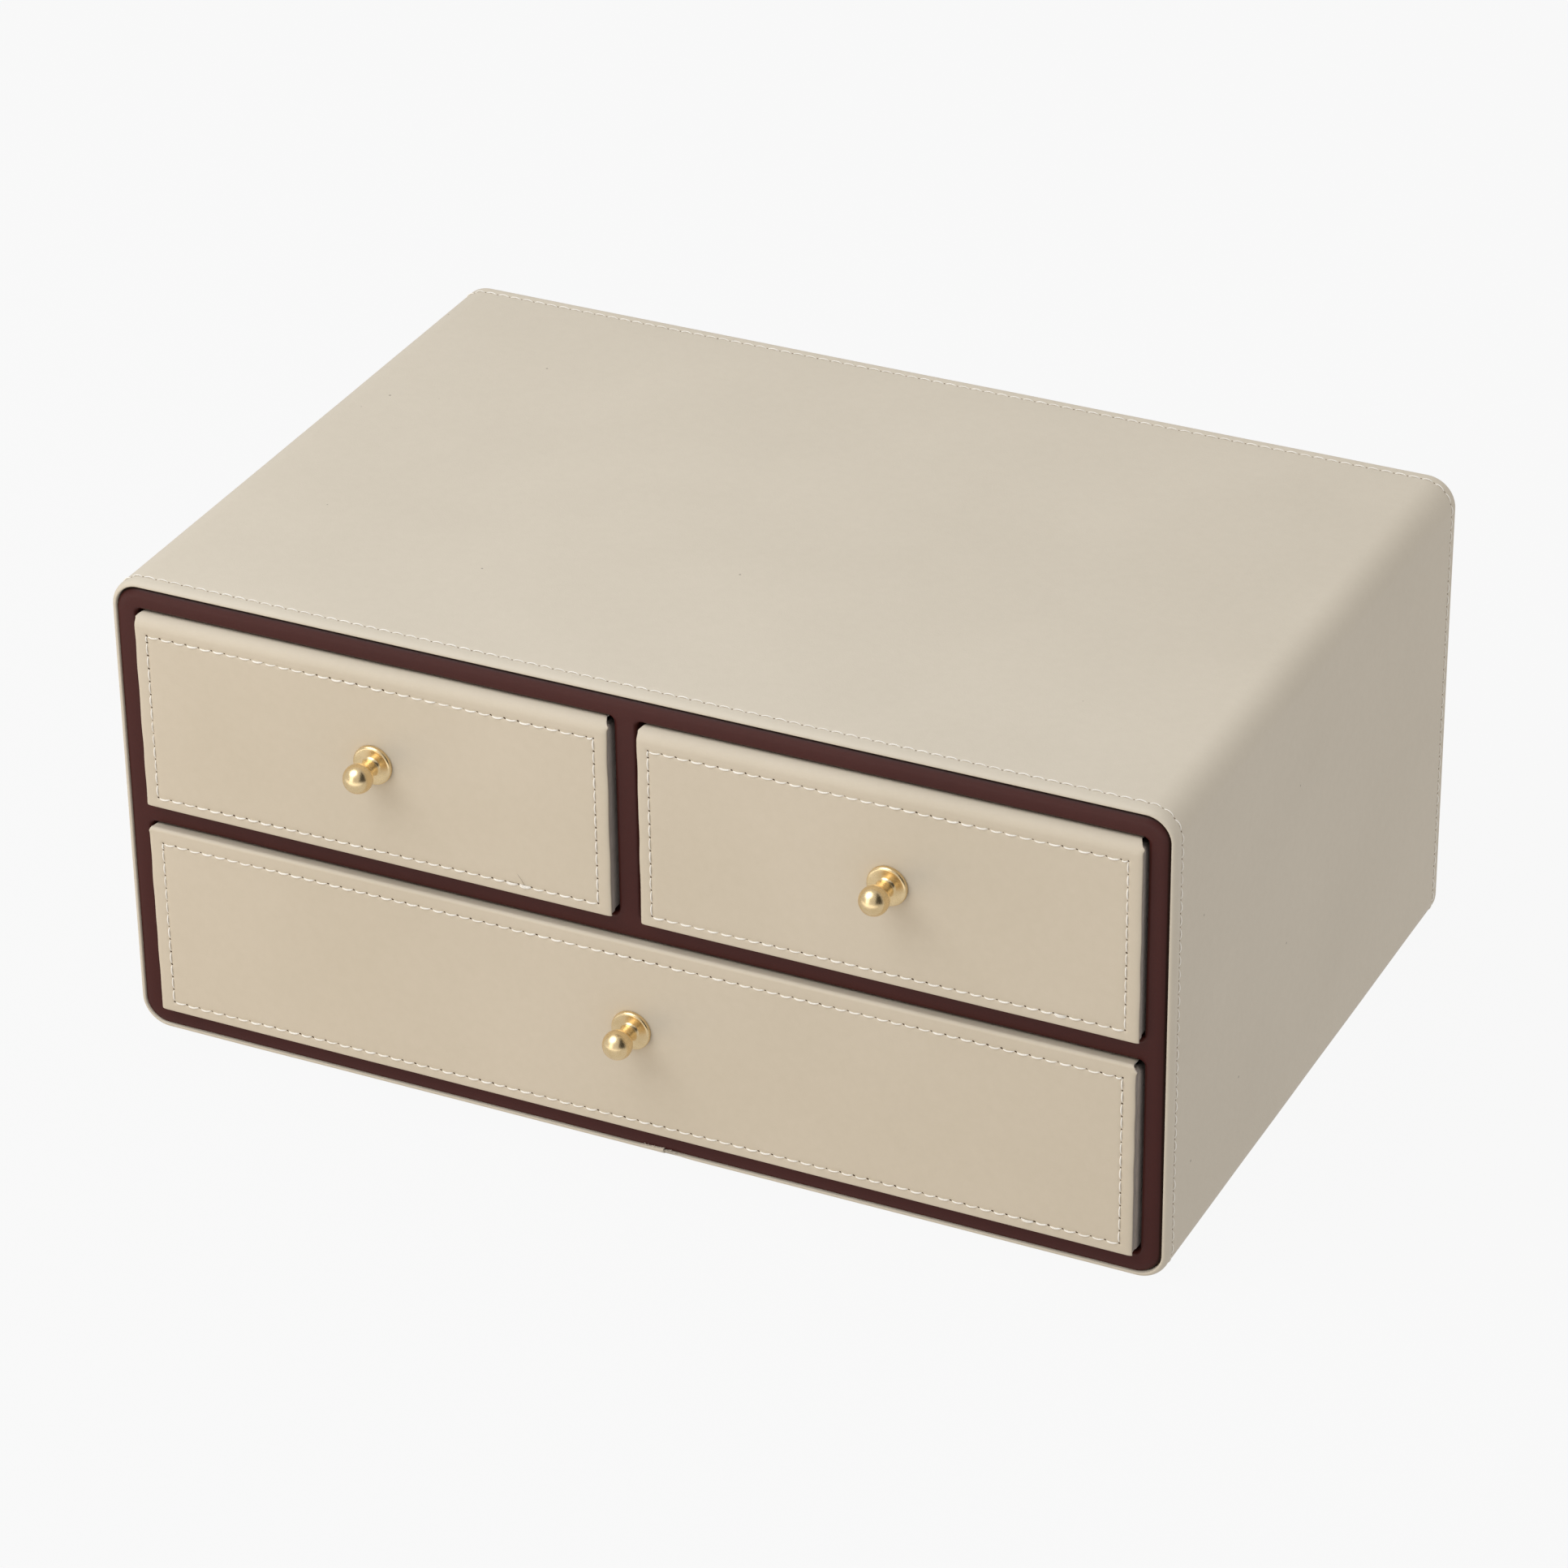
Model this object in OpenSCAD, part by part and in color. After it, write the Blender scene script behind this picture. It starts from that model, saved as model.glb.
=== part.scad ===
// Desktop mini drawers: a leather-wrapped case with two small drawers above one wide drawer.
// Lengths are in millimetres. +X is right, +Z is up, and the drawers open towards -Y.
// The origin is the centre of the case's base face.

/* [Case] */
// Outer width of the case
case_w = 330; // [260:1:420]
// Outer depth of the case, without the drawer fronts and knobs
case_d = 216; // [150:1:300]
// Outer height of the case
case_h = 150.5; // [130:0.5:220]
// Radius of the four long edges
corner_r = 9.3; // [8:0.1:14]

/* [Leather sleeve] */
// Thickness of the beige leather
leather_t = 0.6; // [0.4:0.1:1]
// Thickness of the card that the leather is folded round
card_t = 0.6; // [0.4:0.1:1]
// Width of the leather that is turned in behind the card
turn_in = 14; // [6:1:30]
// Place of the leather's glued seam under the case, right of the middle
seam_x = 9; // [-60:1:60]
// Open joint between the two edges of the leather at the seam
seam_gap = 0.3; // [0.1:0.1:1]

/* [Carcass] */
// Thickness of the top, bottom and side boards
board_t = 5.5; // [4:0.5:8]
// Thickness of the shelf between the two rows
shelf_t = 4.8; // [3:0.1:8]
// Thickness of the upright between the two small drawers
divider_t = 5.6; // [3:0.1:8]
// Thickness of the back panel's board
back_t = 3; // [2:0.5:6]
// How far the back panel lies inside the rear edge of the sleeve
back_recess = 0.5; // [0:0.1:4]
// Clear height of the wide lower bay
wide_bay_h = 63.7; // [45:0.1:75]

/* [Face trim] */
// Thickness of the burgundy leather, and of the cloth that lines the bays behind it
trim_t = 0.7; // [0.4:0.1:1.2]
// Depth to which the burgundy leather is turned into each bay
trim_depth = 16; // [8:1:30]
// How far the trim lies behind the front edge of the sleeve
trim_recess = 0.2; // [0:0.1:2]
// Radius of the corners of each bay's mouth
mouth_r = 1.6; // [0.5:0.1:4]

/* [Drawer fronts] */
// How far the drawer fronts stand out of the case
front_proud = 2.6; // [1:0.1:8]
// Gap between a front and the sides of its bay's mouth
front_side_gap = 0.9; // [0.4:0.1:2]
// Gap under a front
front_low_gap = 0.3; // [0.1:0.1:2]
// Gap above a front
front_top_gap = 0.6; // [0.3:0.1:2]
// Thickness of the front's leather facing
facing_t = 0.8; // [0.5:0.1:1.2]
// Outer radius of the facing where it rolls over the front's top edge
roll_r = 3; // [2.4:0.1:4]
// Depth of the facing's top flap, from the front face
flap_depth = 6; // [5:0.5:12]
// Length of the slanted cut at the facing's two top corners
flap_cut = 3.2; // [1:0.1:6]

/* [Drawer boxes] */
// Thickness of the front, side and back boards of a drawer
wall_t = 3; // [2:0.5:5]
// Thickness of a drawer's floor board
floor_t = 2.5; // [1.5:0.5:5]
// Thickness of the grey cloth round the boards
cloth_t = 0.4; // [0.2:0.1:0.8]
// How far each side of a box lies inside the edge of its facing
box_inset = 0.3; // [0.1:0.1:2]
// Running gap between a box and the lower face of its bay
run_gap = 0.3; // [0.2:0.1:1]
// How far the side and back walls end below the flap on the front
wall_drop = 4; // [0:0.5:20]
// Gap between a closed drawer and the back panel
rear_gap = 0.5; // [0.3:0.1:10]
// Radius of the box's long edges
box_r = 1.2; // [0.8:0.1:1.3]
// Radius of the front board's top corners, with its cloth
front_top_r = 5; // [1.2:0.1:6]
// Thickness of the loose felt pad on a drawer's floor
pad_t = 1; // [0.5:0.1:3]
// Gap between the pad and the walls round it
pad_gap = 0.4; // [0.1:0.1:2]

/* [Knobs] */
// Diameter of a knob's ball
ball_d = 8.8; // [7:0.1:14]
// Distance from the facing to the centre of the ball
knob_reach = 9.1; // [8.5:0.1:16]
// Radius of the foot of the knob's neck
foot_r = 3; // [2.8:0.1:3.6]
// Radius of the neck at its waist
waist_r = 2.4; // [2.4:0.1:2.7]
// Radius of the hollow curve from the neck out to its foot
neck_curve_r = 1.5; // [1:0.1:2.5]
// Diameter of the knob's backplate
plate_d = 12.2; // [10:0.1:20]
// Thickness of the backplate
plate_t = 1.5; // [1:0.1:3]
// Bevel on the backplate's rim
plate_bevel = 0.6; // [0.2:0.1:0.9]
// How far the knobs stand right of the middle of their drawers
knob_shift = 1.2; // [-5:0.1:5]
// How far the wide drawer's knob stands above the middle of its bay
wide_knob_rise = 2.6; // [-5:0.1:8]

/* [Knob screws] */
// Diameter of the screw's thread
screw_d = 3.9; // [3:0.1:4]
// Radial play of the screw in the boards, leather and backplate
screw_play = 0.25; // [0.1:0.05:0.5]
// Radial play of the screw in the knob's tapped hole
tap_play = 0.05; // [0.02:0.01:0.1]
// Length of thread inside the knob
thread_in_knob = 4.5; // [3:0.1:6]
// Depth of the tapped hole past the screw's end
tap_run_out = 0.8; // [0.3:0.1:1.5]
// Diameter of the screw's head
head_d = 7; // [6:0.1:9]
// Height of the screw's head
head_h = 2.2; // [1.8:0.1:4]
// Width of the cross recess in the head
cross_w = 0.9; // [0.6:0.1:1.4]
// Span of the cross recess
cross_span = 4; // [3:0.1:5]
// Depth of the cross recess
cross_depth = 1.2; // [0.5:0.1:1.4]

/* [Hidden] */
$fn = 64;
CASE_NODES = [
    "sleeve_leather", "sleeve_card",
    "carcass_top", "carcass_bottom", "carcass_left", "carcass_right",
    "shelf_board", "divider_board", "face_trim",
    "left_bay_lining", "right_bay_lining", "wide_bay_lining",
    "back_board", "back_leather"
];
DRAWERS = ["left", "right", "wide"];
DRAWER_PIECES = [
    "facing", "front_board", "left_side", "right_side", "back_wall", "floor_board",
    "cloth_wrap", "felt_pad", "knob", "knob_plate", "knob_screw"
];

// Reach of a cutting tool past the faces that it opens
over = 1;

// Case, from the outside in
sleeve_t = 2 * leather_t + card_t;
rim = sleeve_t + board_t + trim_t;
sleeve_in_x = case_w / 2 - sleeve_t;
board_in_x = sleeve_in_x - board_t;
front_y = -case_d / 2;
trim_y = front_y + trim_recess;
board_front_y = trim_y + trim_t;
back_outer_y = case_d / 2 - back_recess;
back_board_y = [back_outer_y - leather_t - back_t, back_outer_y - leather_t];
lining_y = [trim_y + trim_depth, back_board_y[0]];

// Shelf and divider with the trim on both of their faces
shelf_z = [rim + wide_bay_h, rim + wide_bay_h + shelf_t + 2 * trim_t];
divider_x = divider_t / 2 + trim_t;

// Clear mouth of each bay: [x from, x to, z from, z to]
bay_in_x = case_w / 2 - rim;
BAYS = [
    [-bay_in_x, -divider_x, shelf_z[1], case_h - rim],
    [divider_x, bay_in_x, shelf_z[1], case_h - rim],
    [-bay_in_x, bay_in_x, rim, shelf_z[0]]
];
KNOB_RISE = [0, 0, wide_knob_rise];

// Drawers, from the facing back
facing_y = front_y - front_proud;
box_front_y = facing_y + facing_t;
box_back_y = back_board_y[0] - rear_gap;
skin_wall_t = wall_t + 2 * cloth_t;
grip_t = facing_t + skin_wall_t;
// Y range of the side walls and of the floor, between the front board and the back wall
side_y = [box_front_y + cloth_t + wall_t, box_back_y - cloth_t - wall_t];
ball_r = ball_d / 2;
screw_r = screw_d / 2;

function bay_x(d) = [BAYS[d][0], BAYS[d][1]];
function bay_z(d) = [BAYS[d][2], BAYS[d][3]];
function middle(range) = (range[0] + range[1]) / 2;
function shrink(range, by) = [range[0] + by, range[1] - by];
function facing_x(d) = shrink(bay_x(d), front_side_gap);
function facing_z(d) = [BAYS[d][2] + front_low_gap, BAYS[d][3] - front_top_gap];
function box_x(d) = shrink(facing_x(d), box_inset);
function box_low_z(d) = BAYS[d][2] + run_gap;
function front_top_z(d) = facing_z(d)[1] - facing_t;
function wall_top_z(d) = front_top_z(d) - wall_drop;
function floor_top_z(d) = box_low_z(d) + cloth_t + floor_t;

// ---------- helpers ----------

// A box between two values on each axis
module block(xs, ys, zs) {
    translate([xs[0], ys[0], zs[0]])
        cube([xs[1] - xs[0], ys[1] - ys[0], zs[1] - zs[0]]);
}

// A rectangle with four round corners, centred
module rounded(w, h, r) {
    square([w - 2 * r, h], center = true);
    square([w, h - 2 * r], center = true);
    for (x = [-1, 1], y = [-1, 1])
        translate([x * (w / 2 - r), y * (h / 2 - r)]) circle(r);
}

// A block with its four edges along Y rounded
module rounded_block(xs, ys, zs, r) {
    translate([middle(xs), ys[1], middle(zs)])
        rotate([90, 0, 0])
            linear_extrude(ys[1] - ys[0]) rounded(xs[1] - xs[0], zs[1] - zs[0], r);
}

// The case's outline drawn inwards by a distance, as a solid between two values of Y
module case_block(inwards, ys) {
    rounded_block(
        shrink([-case_w / 2, case_w / 2], inwards), ys, shrink([0, case_h], inwards), corner_r - inwards
    );
}

// A profile carried round the case's outline: its x is the distance from a corner's centre,
// and its y is the distance forwards from the middle of the case
module round_the_case() {
    translate([0, 0, case_h / 2]) rotate([90, 0, 0])
        for (q = [0 : 3]) {
            along = q % 2 == 0 ? case_h : case_w;
            across = q % 2 == 0 ? case_w : case_h;
            rotate([0, 0, 90 * q]) translate([across / 2 - corner_r, along / 2 - corner_r, 0]) {
                rotate([90, 0, 0]) linear_extrude(along - 2 * corner_r) children();
                rotate_extrude(angle = 90) children();
            }
        }
}

// A flat strip with two round ends, centred
module strip(thickness, length) {
    square([thickness, length - thickness], center = true);
    for (y = [-1, 1]) translate([0, y * (length - thickness) / 2]) circle(d = thickness);
}

// Section of a drawer's front: a rectangle whose top front corner is round
module facing_corner(y0, y1, z0, z1, r) {
    translate([y0, z0]) square([y1 - y0, z1 - z0 - r]);
    translate([y0 + r, z0]) square([y1 - y0 - r, z1 - z0]);
    translate([y0 + r, z1 - r]) circle(r);
}

// Carries a section, drawn with Y to the right and Z up, along a range of X
module along_x(xs) {
    translate([xs[0], 0, 0]) rotate([90, 0, 90]) linear_extrude(xs[1] - xs[0]) children();
}

// Places its children on a drawer's facing at the knob's axis, with Z pointing forwards
module at_knob(d) {
    translate([middle(bay_x(d)) + knob_shift, facing_y, middle(bay_z(d)) + KNOB_RISE[d]])
        rotate([90, 0, 0]) children();
}

// The screw's hole through a drawer's front
module screw_hole(d) {
    at_knob(d) translate([0, 0, -grip_t - over]) cylinder(r = screw_r + screw_play, h = grip_t + 2 * over);
}

// ---------- case ----------

// Leather folded round both ends of the card, with its seam under the case
module sleeve_leather() {
    seam = [seam_x - seam_gap / 2, seam_x + seam_gap / 2];
    color([0.82, 0.78, 0.71]) difference() {
        round_the_case() translate([corner_r - sleeve_t / 2, 0]) difference() {
            strip(sleeve_t, case_d);
            strip(card_t, case_d - 2 * leather_t);
            translate([-sleeve_t, -case_d / 2 + turn_in]) square([sleeve_t, case_d - 2 * turn_in]);
        }
        block(seam, [front_y - over, -front_y + over], [-over, sleeve_t + over]);
    }
}

// The stiff card inside the leather
module sleeve_card() {
    color([0.55, 0.5, 0.45])
        round_the_case() translate([corner_r - sleeve_t / 2, 0]) strip(card_t, case_d - 2 * leather_t);
}

// One board of the carcass: the part of the carcass's outline inside the given ranges
module carcass_board(xs, zs) {
    color([0.68, 0.56, 0.42]) intersection() {
        case_block(sleeve_t, [board_front_y, back_board_y[0]]);
        block(xs, [front_y, case_d / 2], zs);
    }
}

module carcass_top() {
    carcass_board([-case_w / 2, case_w / 2], [case_h - sleeve_t - board_t, case_h]);
}

module carcass_bottom() {
    carcass_board([-case_w / 2, case_w / 2], [0, sleeve_t + board_t]);
}

module carcass_side(xs) {
    carcass_board(xs, [sleeve_t + board_t, case_h - sleeve_t - board_t]);
}

module shelf_board() {
    color([0.68, 0.56, 0.42])
        block([-board_in_x, board_in_x], [board_front_y, back_board_y[0]], shrink(shelf_z, trim_t));
}

module divider_board() {
    color([0.68, 0.56, 0.42])
        block(
            [-divider_t / 2, divider_t / 2], [board_front_y, back_board_y[0]],
            [shelf_z[1] - trim_t, case_h - sleeve_t - board_t]
        );
}

// The thin lining between a bay's mouth and the boards round it
module bay_skin(b, ys, r) {
    difference() {
        block(shrink(bay_x(b), -trim_t), ys, shrink(bay_z(b), -trim_t));
        rounded_block(bay_x(b), shrink(ys, -over), bay_z(b), r);
    }
}

// Burgundy leather over the front edges of the boards and into the three mouths
module face_trim() {
    color([0.31, 0.18, 0.17]) {
        difference() {
            case_block(sleeve_t, [trim_y, board_front_y]);
            for (b = [0 : 2])
                rounded_block(bay_x(b), [trim_y - over, board_front_y + over], bay_z(b), mouth_r);
        }
        for (b = [0 : 2]) bay_skin(b, [trim_y + trim_t / 2, lining_y[0]], mouth_r);
    }
}

// Grey cloth that lines one bay behind the trim
module bay_lining(b) {
    color([0.4, 0.37, 0.35]) difference() {
        block(shrink(bay_x(b), -trim_t), lining_y, shrink(bay_z(b), -trim_t));
        block(bay_x(b), shrink(lining_y, -over), bay_z(b));
    }
}

module back_board() {
    color([0.68, 0.56, 0.42]) case_block(sleeve_t + leather_t, back_board_y);
}

// Leather over the back panel's outer face and edges
module back_leather() {
    color([0.8, 0.76, 0.69]) difference() {
        case_block(sleeve_t, [back_board_y[0], back_outer_y]);
        case_block(sleeve_t + leather_t, [back_board_y[0] - over, back_board_y[1]]);
    }
}

// ---------- drawers: d is 0 for the left one, 1 for the right one and 2 for the wide one ----------

// Leather sheet on the front, rolled over the top edge, with its top corners cut off
module facing(d) {
    xs = facing_x(d);
    zs = facing_z(d);
    color([0.8, 0.75, 0.66]) difference() {
        along_x(xs) difference() {
            facing_corner(facing_y, facing_y + flap_depth, zs[0], zs[1], roll_r);
            facing_corner(
                facing_y + facing_t, facing_y + flap_depth + over,
                zs[0] - over, zs[1] - facing_t, roll_r - facing_t
            );
        }
        for (x = xs) translate([x, facing_y + flap_depth / 2, zs[1]]) rotate([0, 45, 0])
            cube([flap_cut * sqrt(2), flap_depth + 2 * over, flap_cut * sqrt(2)], center = true);
        screw_hole(d);
    }
}

// Front board with round top corners, and a round top edge for the facing to roll over.
// It is drawn inwards by a distance on all sides.
module front_board_shape(d, inwards) {
    xs = shrink(box_x(d), inwards);
    ys = shrink([box_front_y, box_front_y + skin_wall_t], inwards);
    zs = shrink([box_low_z(d), front_top_z(d)], inwards);
    intersection() {
        union() {
            rounded_block(xs, ys, [zs[0], zs[1] - front_top_r], box_r - inwards);
            rounded_block(xs, ys, [zs[0] + 2 * box_r, zs[1]], front_top_r - inwards);
        }
        along_x(xs)
            facing_corner(ys[0], ys[1] + over, zs[0] - over, zs[1], roll_r - facing_t - inwards);
    }
}

module front_board(d) {
    color([0.68, 0.56, 0.42]) difference() {
        front_board_shape(d, cloth_t);
        screw_hole(d);
    }
}

module side_wall(d, xs) {
    color([0.68, 0.56, 0.42])
        block(xs, side_y, [box_low_z(d) + cloth_t, wall_top_z(d) - cloth_t]);
}

module left_side(d) {
    low_x = box_x(d)[0] + cloth_t;
    side_wall(d, [low_x, low_x + wall_t]);
}

module right_side(d) {
    high_x = box_x(d)[1] - cloth_t;
    side_wall(d, [high_x - wall_t, high_x]);
}

module back_wall(d) {
    color([0.68, 0.56, 0.42])
        block(
            shrink(box_x(d), cloth_t), [side_y[1], side_y[1] + wall_t],
            [box_low_z(d) + cloth_t, wall_top_z(d) - cloth_t]
        );
}

module floor_board(d) {
    color([0.68, 0.56, 0.42])
        block(shrink(box_x(d), cloth_t + wall_t), side_y, [box_low_z(d) + cloth_t, floor_top_z(d)]);
}

// Clear inside of a drawer, above a given height
module inside(d, low_z) {
    block(
        shrink(box_x(d), skin_wall_t), [box_front_y + skin_wall_t, box_back_y - skin_wall_t],
        [low_z, case_h]
    );
}

// Grey cloth round the outside, over the top edges and down the inside of all the walls
module cloth_wrap(d) {
    color([0.45, 0.41, 0.38]) difference() {
        union() {
            rounded_block(
                box_x(d), [box_front_y + cloth_t, box_back_y], [box_low_z(d), wall_top_z(d)], box_r
            );
            front_board_shape(d, 0);
        }
        front_board_shape(d, cloth_t);
        left_side(d);
        right_side(d);
        back_wall(d);
        floor_board(d);
        inside(d, floor_top_z(d) - cloth_t / 2);
        screw_hole(d);
    }
}

// Loose felt pad on the floor
module felt_pad(d) {
    color([0.38, 0.35, 0.33])
        block(
            shrink(box_x(d), skin_wall_t + pad_gap),
            [box_front_y + skin_wall_t + pad_gap, box_back_y - skin_wall_t - pad_gap],
            [floor_top_z(d), floor_top_z(d) + pad_t]
        );
}

// Turned ball on a waisted neck, tapped from behind
module knob(d) {
    ball_foot = knob_reach - sqrt(ball_r * ball_r - waist_r * waist_r);
    curve_x = waist_r + neck_curve_r;
    curve_z = plate_t + sqrt(neck_curve_r * neck_curve_r - (curve_x - foot_r) * (curve_x - foot_r));
    color([0.85, 0.72, 0.5]) at_knob(d) difference() {
        union() {
            translate([0, 0, knob_reach]) sphere(ball_r);
            rotate_extrude() difference() {
                translate([0, plate_t]) square([foot_r, ball_foot - plate_t + over / 2]);
                translate([curve_x, curve_z]) circle(neck_curve_r);
                translate([waist_r, curve_z]) square([neck_curve_r + over, knob_reach]);
            }
        }
        translate([0, 0, plate_t - over])
            cylinder(r = screw_r + tap_play, h = over + thread_in_knob + tap_run_out);
    }
}

// Bevelled brass disc between the knob and the leather
module knob_plate(d) {
    hole_r = screw_r + screw_play;
    plate_r = plate_d / 2;
    color([0.83, 0.69, 0.46]) at_knob(d) rotate_extrude()
        polygon([
            [hole_r, 0], [plate_r, 0], [plate_r, plate_t - plate_bevel],
            [plate_r - plate_bevel, plate_t], [hole_r, plate_t]
        ]);
}

// Pan-head screw from inside the drawer into the knob
module knob_screw(d) {
    color([0.7, 0.7, 0.7]) at_knob(d) translate([0, 0, -grip_t]) difference() {
        union() {
            translate([0, 0, -head_h]) cylinder(d = head_d, h = head_h);
            cylinder(r = screw_r, h = grip_t + plate_t + thread_in_knob);
        }
        for (a = [0, 90]) rotate([0, 0, a])
            translate([-cross_span / 2, -cross_w / 2, -head_h - over])
                cube([cross_span, cross_w, cross_depth + over]);
    }
}

// ---------- output ----------

sleeve_leather();
sleeve_card();
carcass_top();
carcass_bottom();
carcass_side([-case_w / 2, -board_in_x]);  // carcass_left
carcass_side([board_in_x, case_w / 2]);  // carcass_right
shelf_board();
divider_board();
face_trim();
bay_lining(0);  // left_bay_lining
bay_lining(1);  // right_bay_lining
bay_lining(2);  // wide_bay_lining
back_board();
back_leather();
for (d = [0 : 2]) {
    name = str(DRAWERS[d], "_drawer_");
    facing(d);
    front_board(d);
    left_side(d);
    right_side(d);
    back_wall(d);
    floor_board(d);
    cloth_wrap(d);
    felt_pad(d);
    knob(d);
    knob_plate(d);
    knob_screw(d);
}
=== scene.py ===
# %% [markdown]
# # Desktop mini drawers
# A small chest for a desk: a case wrapped in beige leather, a burgundy leather frame round three
# mouths, and three drawers with stitched leather fronts and brass knobs. The boards, screws and
# linings are already made as exact solids, and come in as a fixed frame. This lesson dresses them:
# it makes the soft parts as surfaces worked out from formulas, and gives every piece its finish.
# Pieces and the camera are measured in millimetres, which become metres in the last step. Only
# the lights, the floor and the cards are placed in metres.

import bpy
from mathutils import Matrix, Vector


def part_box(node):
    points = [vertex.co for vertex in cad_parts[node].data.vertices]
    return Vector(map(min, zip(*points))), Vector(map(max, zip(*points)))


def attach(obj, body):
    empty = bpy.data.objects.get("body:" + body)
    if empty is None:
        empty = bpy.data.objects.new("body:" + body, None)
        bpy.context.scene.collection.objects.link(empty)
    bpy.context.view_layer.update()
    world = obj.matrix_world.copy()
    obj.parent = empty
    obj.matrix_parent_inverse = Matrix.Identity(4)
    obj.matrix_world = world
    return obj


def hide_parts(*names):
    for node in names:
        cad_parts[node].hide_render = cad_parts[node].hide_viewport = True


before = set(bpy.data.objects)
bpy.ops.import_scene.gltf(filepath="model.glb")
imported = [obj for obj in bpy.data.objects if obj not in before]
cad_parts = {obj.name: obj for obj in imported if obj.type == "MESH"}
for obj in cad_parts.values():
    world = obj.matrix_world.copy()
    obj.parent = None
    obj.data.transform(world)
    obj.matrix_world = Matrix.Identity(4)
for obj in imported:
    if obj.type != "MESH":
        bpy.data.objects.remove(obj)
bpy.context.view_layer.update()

# %% Libraries and units
import math

import bpy
import numpy as np
from mathutils import Matrix, Vector, geometry

MM = 0.001
DRAWERS = ("left_drawer", "right_drawer", "wide_drawer")


def node_box(node):
    """Lowest and highest corner of a node of the frame, in millimetres."""
    low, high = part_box(node)
    return np.array(low) / MM, np.array(high) / MM


case_low, case_high = node_box("sleeve_leather")
trim_low, trim_high = node_box("face_trim")
print("case", (case_high - case_low).round(2), "mm")

# %% [markdown]
# ## Camera, light and floor
# A long lens, a good way off, keeps the case's edges nearly parallel. The camera is placed by
# its direction, its distance and how far it is shifted sideways and up from the middle of the
# case's front, so that one set of plain numbers says where it stands. A leather box looks best
# in soft light: a big lamp above and to the left, a weak warm one low in front, and an even light
# from all round, as in a white room. The floor glows by itself, as a white table in a studio
# does, so there is hardly a shadow on it. Only the camera sees it, and a few cards round the case
# stand in for it in reflections.

# %% Camera
CAMERA_AZIMUTH, CAMERA_ELEVATION, CAMERA_ROLL = np.radians([25.949, 29.983, -0.746])
CAMERA_LENS = 136.94
CAMERA_DISTANCE, CAMERA_SIDE, CAMERA_UP = 1680.4, 43.53, 39.83


def camera_axes(azimuth, elevation, roll):
    """Right, up and back directions of a camera that looks down at the front, turned by its roll."""
    back = np.array([
        math.sin(azimuth) * math.cos(elevation),
        -math.cos(azimuth) * math.cos(elevation),
        math.sin(elevation),
    ])
    level = np.array([math.cos(azimuth), math.sin(azimuth), 0])
    up = np.cross(back, level)
    right = math.cos(roll) * level + math.sin(roll) * up
    return right, np.cross(back, right), back


def make_camera():
    """The camera, turned and placed by those numbers."""
    right, up, back = camera_axes(CAMERA_AZIMUTH, CAMERA_ELEVATION, CAMERA_ROLL)
    aim = np.array([0, case_low[1], (case_low[2] + case_high[2]) / 2])
    place = aim + CAMERA_DISTANCE * back + CAMERA_SIDE * right + CAMERA_UP * up
    camera = bpy.data.objects.new("camera", bpy.data.cameras.new("camera"))
    camera.data.lens = CAMERA_LENS
    camera.data.sensor_width = 36
    camera.data.clip_start, camera.data.clip_end = 0.05, 60
    turn = Matrix(np.stack([right, up, back], 1).tolist()).to_4x4()
    camera.matrix_world = Matrix.Translation(Vector(place * MM)) @ turn
    bpy.context.scene.collection.objects.link(camera)
    bpy.context.scene.camera = camera
    return camera


camera = make_camera()
print("camera at", [round(v, 3) for v in camera.matrix_world.translation])

# %% Lights
CASE_MIDDLE = Vector((0, 0, 0.075))


def softbox(name, place, size, power, colour, in_reflections=True):
    """A large round light that looks at the middle of the case."""
    light = bpy.data.lights.new(name, "AREA")
    light.shape = "ELLIPSE"
    light.size, light.size_y = size
    light.energy = power
    light.color = colour
    made = bpy.data.objects.new(name, light)
    made.location = place
    made.rotation_mode = "QUATERNION"
    made.rotation_quaternion = (Vector(place) - CASE_MIDDLE).to_track_quat("Z", "Y")
    made.visible_glossy = in_reflections
    bpy.context.scene.collection.objects.link(made)
    return made


softbox("key_light", (-0.50, -0.62, 1.14), (1.15, 1.15), 9.45, (0.88, 0.90, 0.925))
softbox("warm_fill", (-0.90, -0.92, -0.42), (1.2, 0.8), 3.1, (1.0, 0.72, 0.36), in_reflections=False)

# %% World
def make_world(colour):
    """Even light from all round."""
    world = bpy.data.worlds.new("studio")
    world.use_nodes = True
    world.node_tree.nodes["Background"].inputs["Color"].default_value = (*colour, 1)
    bpy.context.scene.world = world


make_world((0.650, 0.631, 0.616))
bpy.context.scene.view_settings.view_transform = "Standard"
print("world:", bpy.context.scene.world.name)

# %% Studio sheets
def level_corners(low, high, z):
    """Corners of a level rectangle."""
    return [(low[0], low[1], z), (high[0], low[1], z), (high[0], high[1], z), (low[0], high[1], z)]


def studio_sheet(name, corners, grey, glow, tint, gloss):
    """A flat sheet that belongs to the studio, not to the case. It is dull and glows by itself."""
    mesh = bpy.data.meshes.new(name)
    mesh.from_pydata(corners, [], [tuple(range(len(corners)))])
    sheet = bpy.data.objects.new(name, mesh)
    material = bpy.data.materials.new(name)
    material.use_nodes = True
    shader = material.node_tree.nodes["Principled BSDF"]
    shader.inputs["Base Color"].default_value = (grey, grey, grey, 1)
    shader.inputs["Specular IOR Level"].default_value = gloss
    shader.inputs["Emission Color"].default_value = (*tint, 1)
    shader.inputs["Emission Strength"].default_value = glow
    mesh.materials.append(material)
    bpy.context.scene.collection.objects.link(sheet)
    return sheet


print("corners of a level sheet:", level_corners((0, 0), (1, 1), 0))

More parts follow.
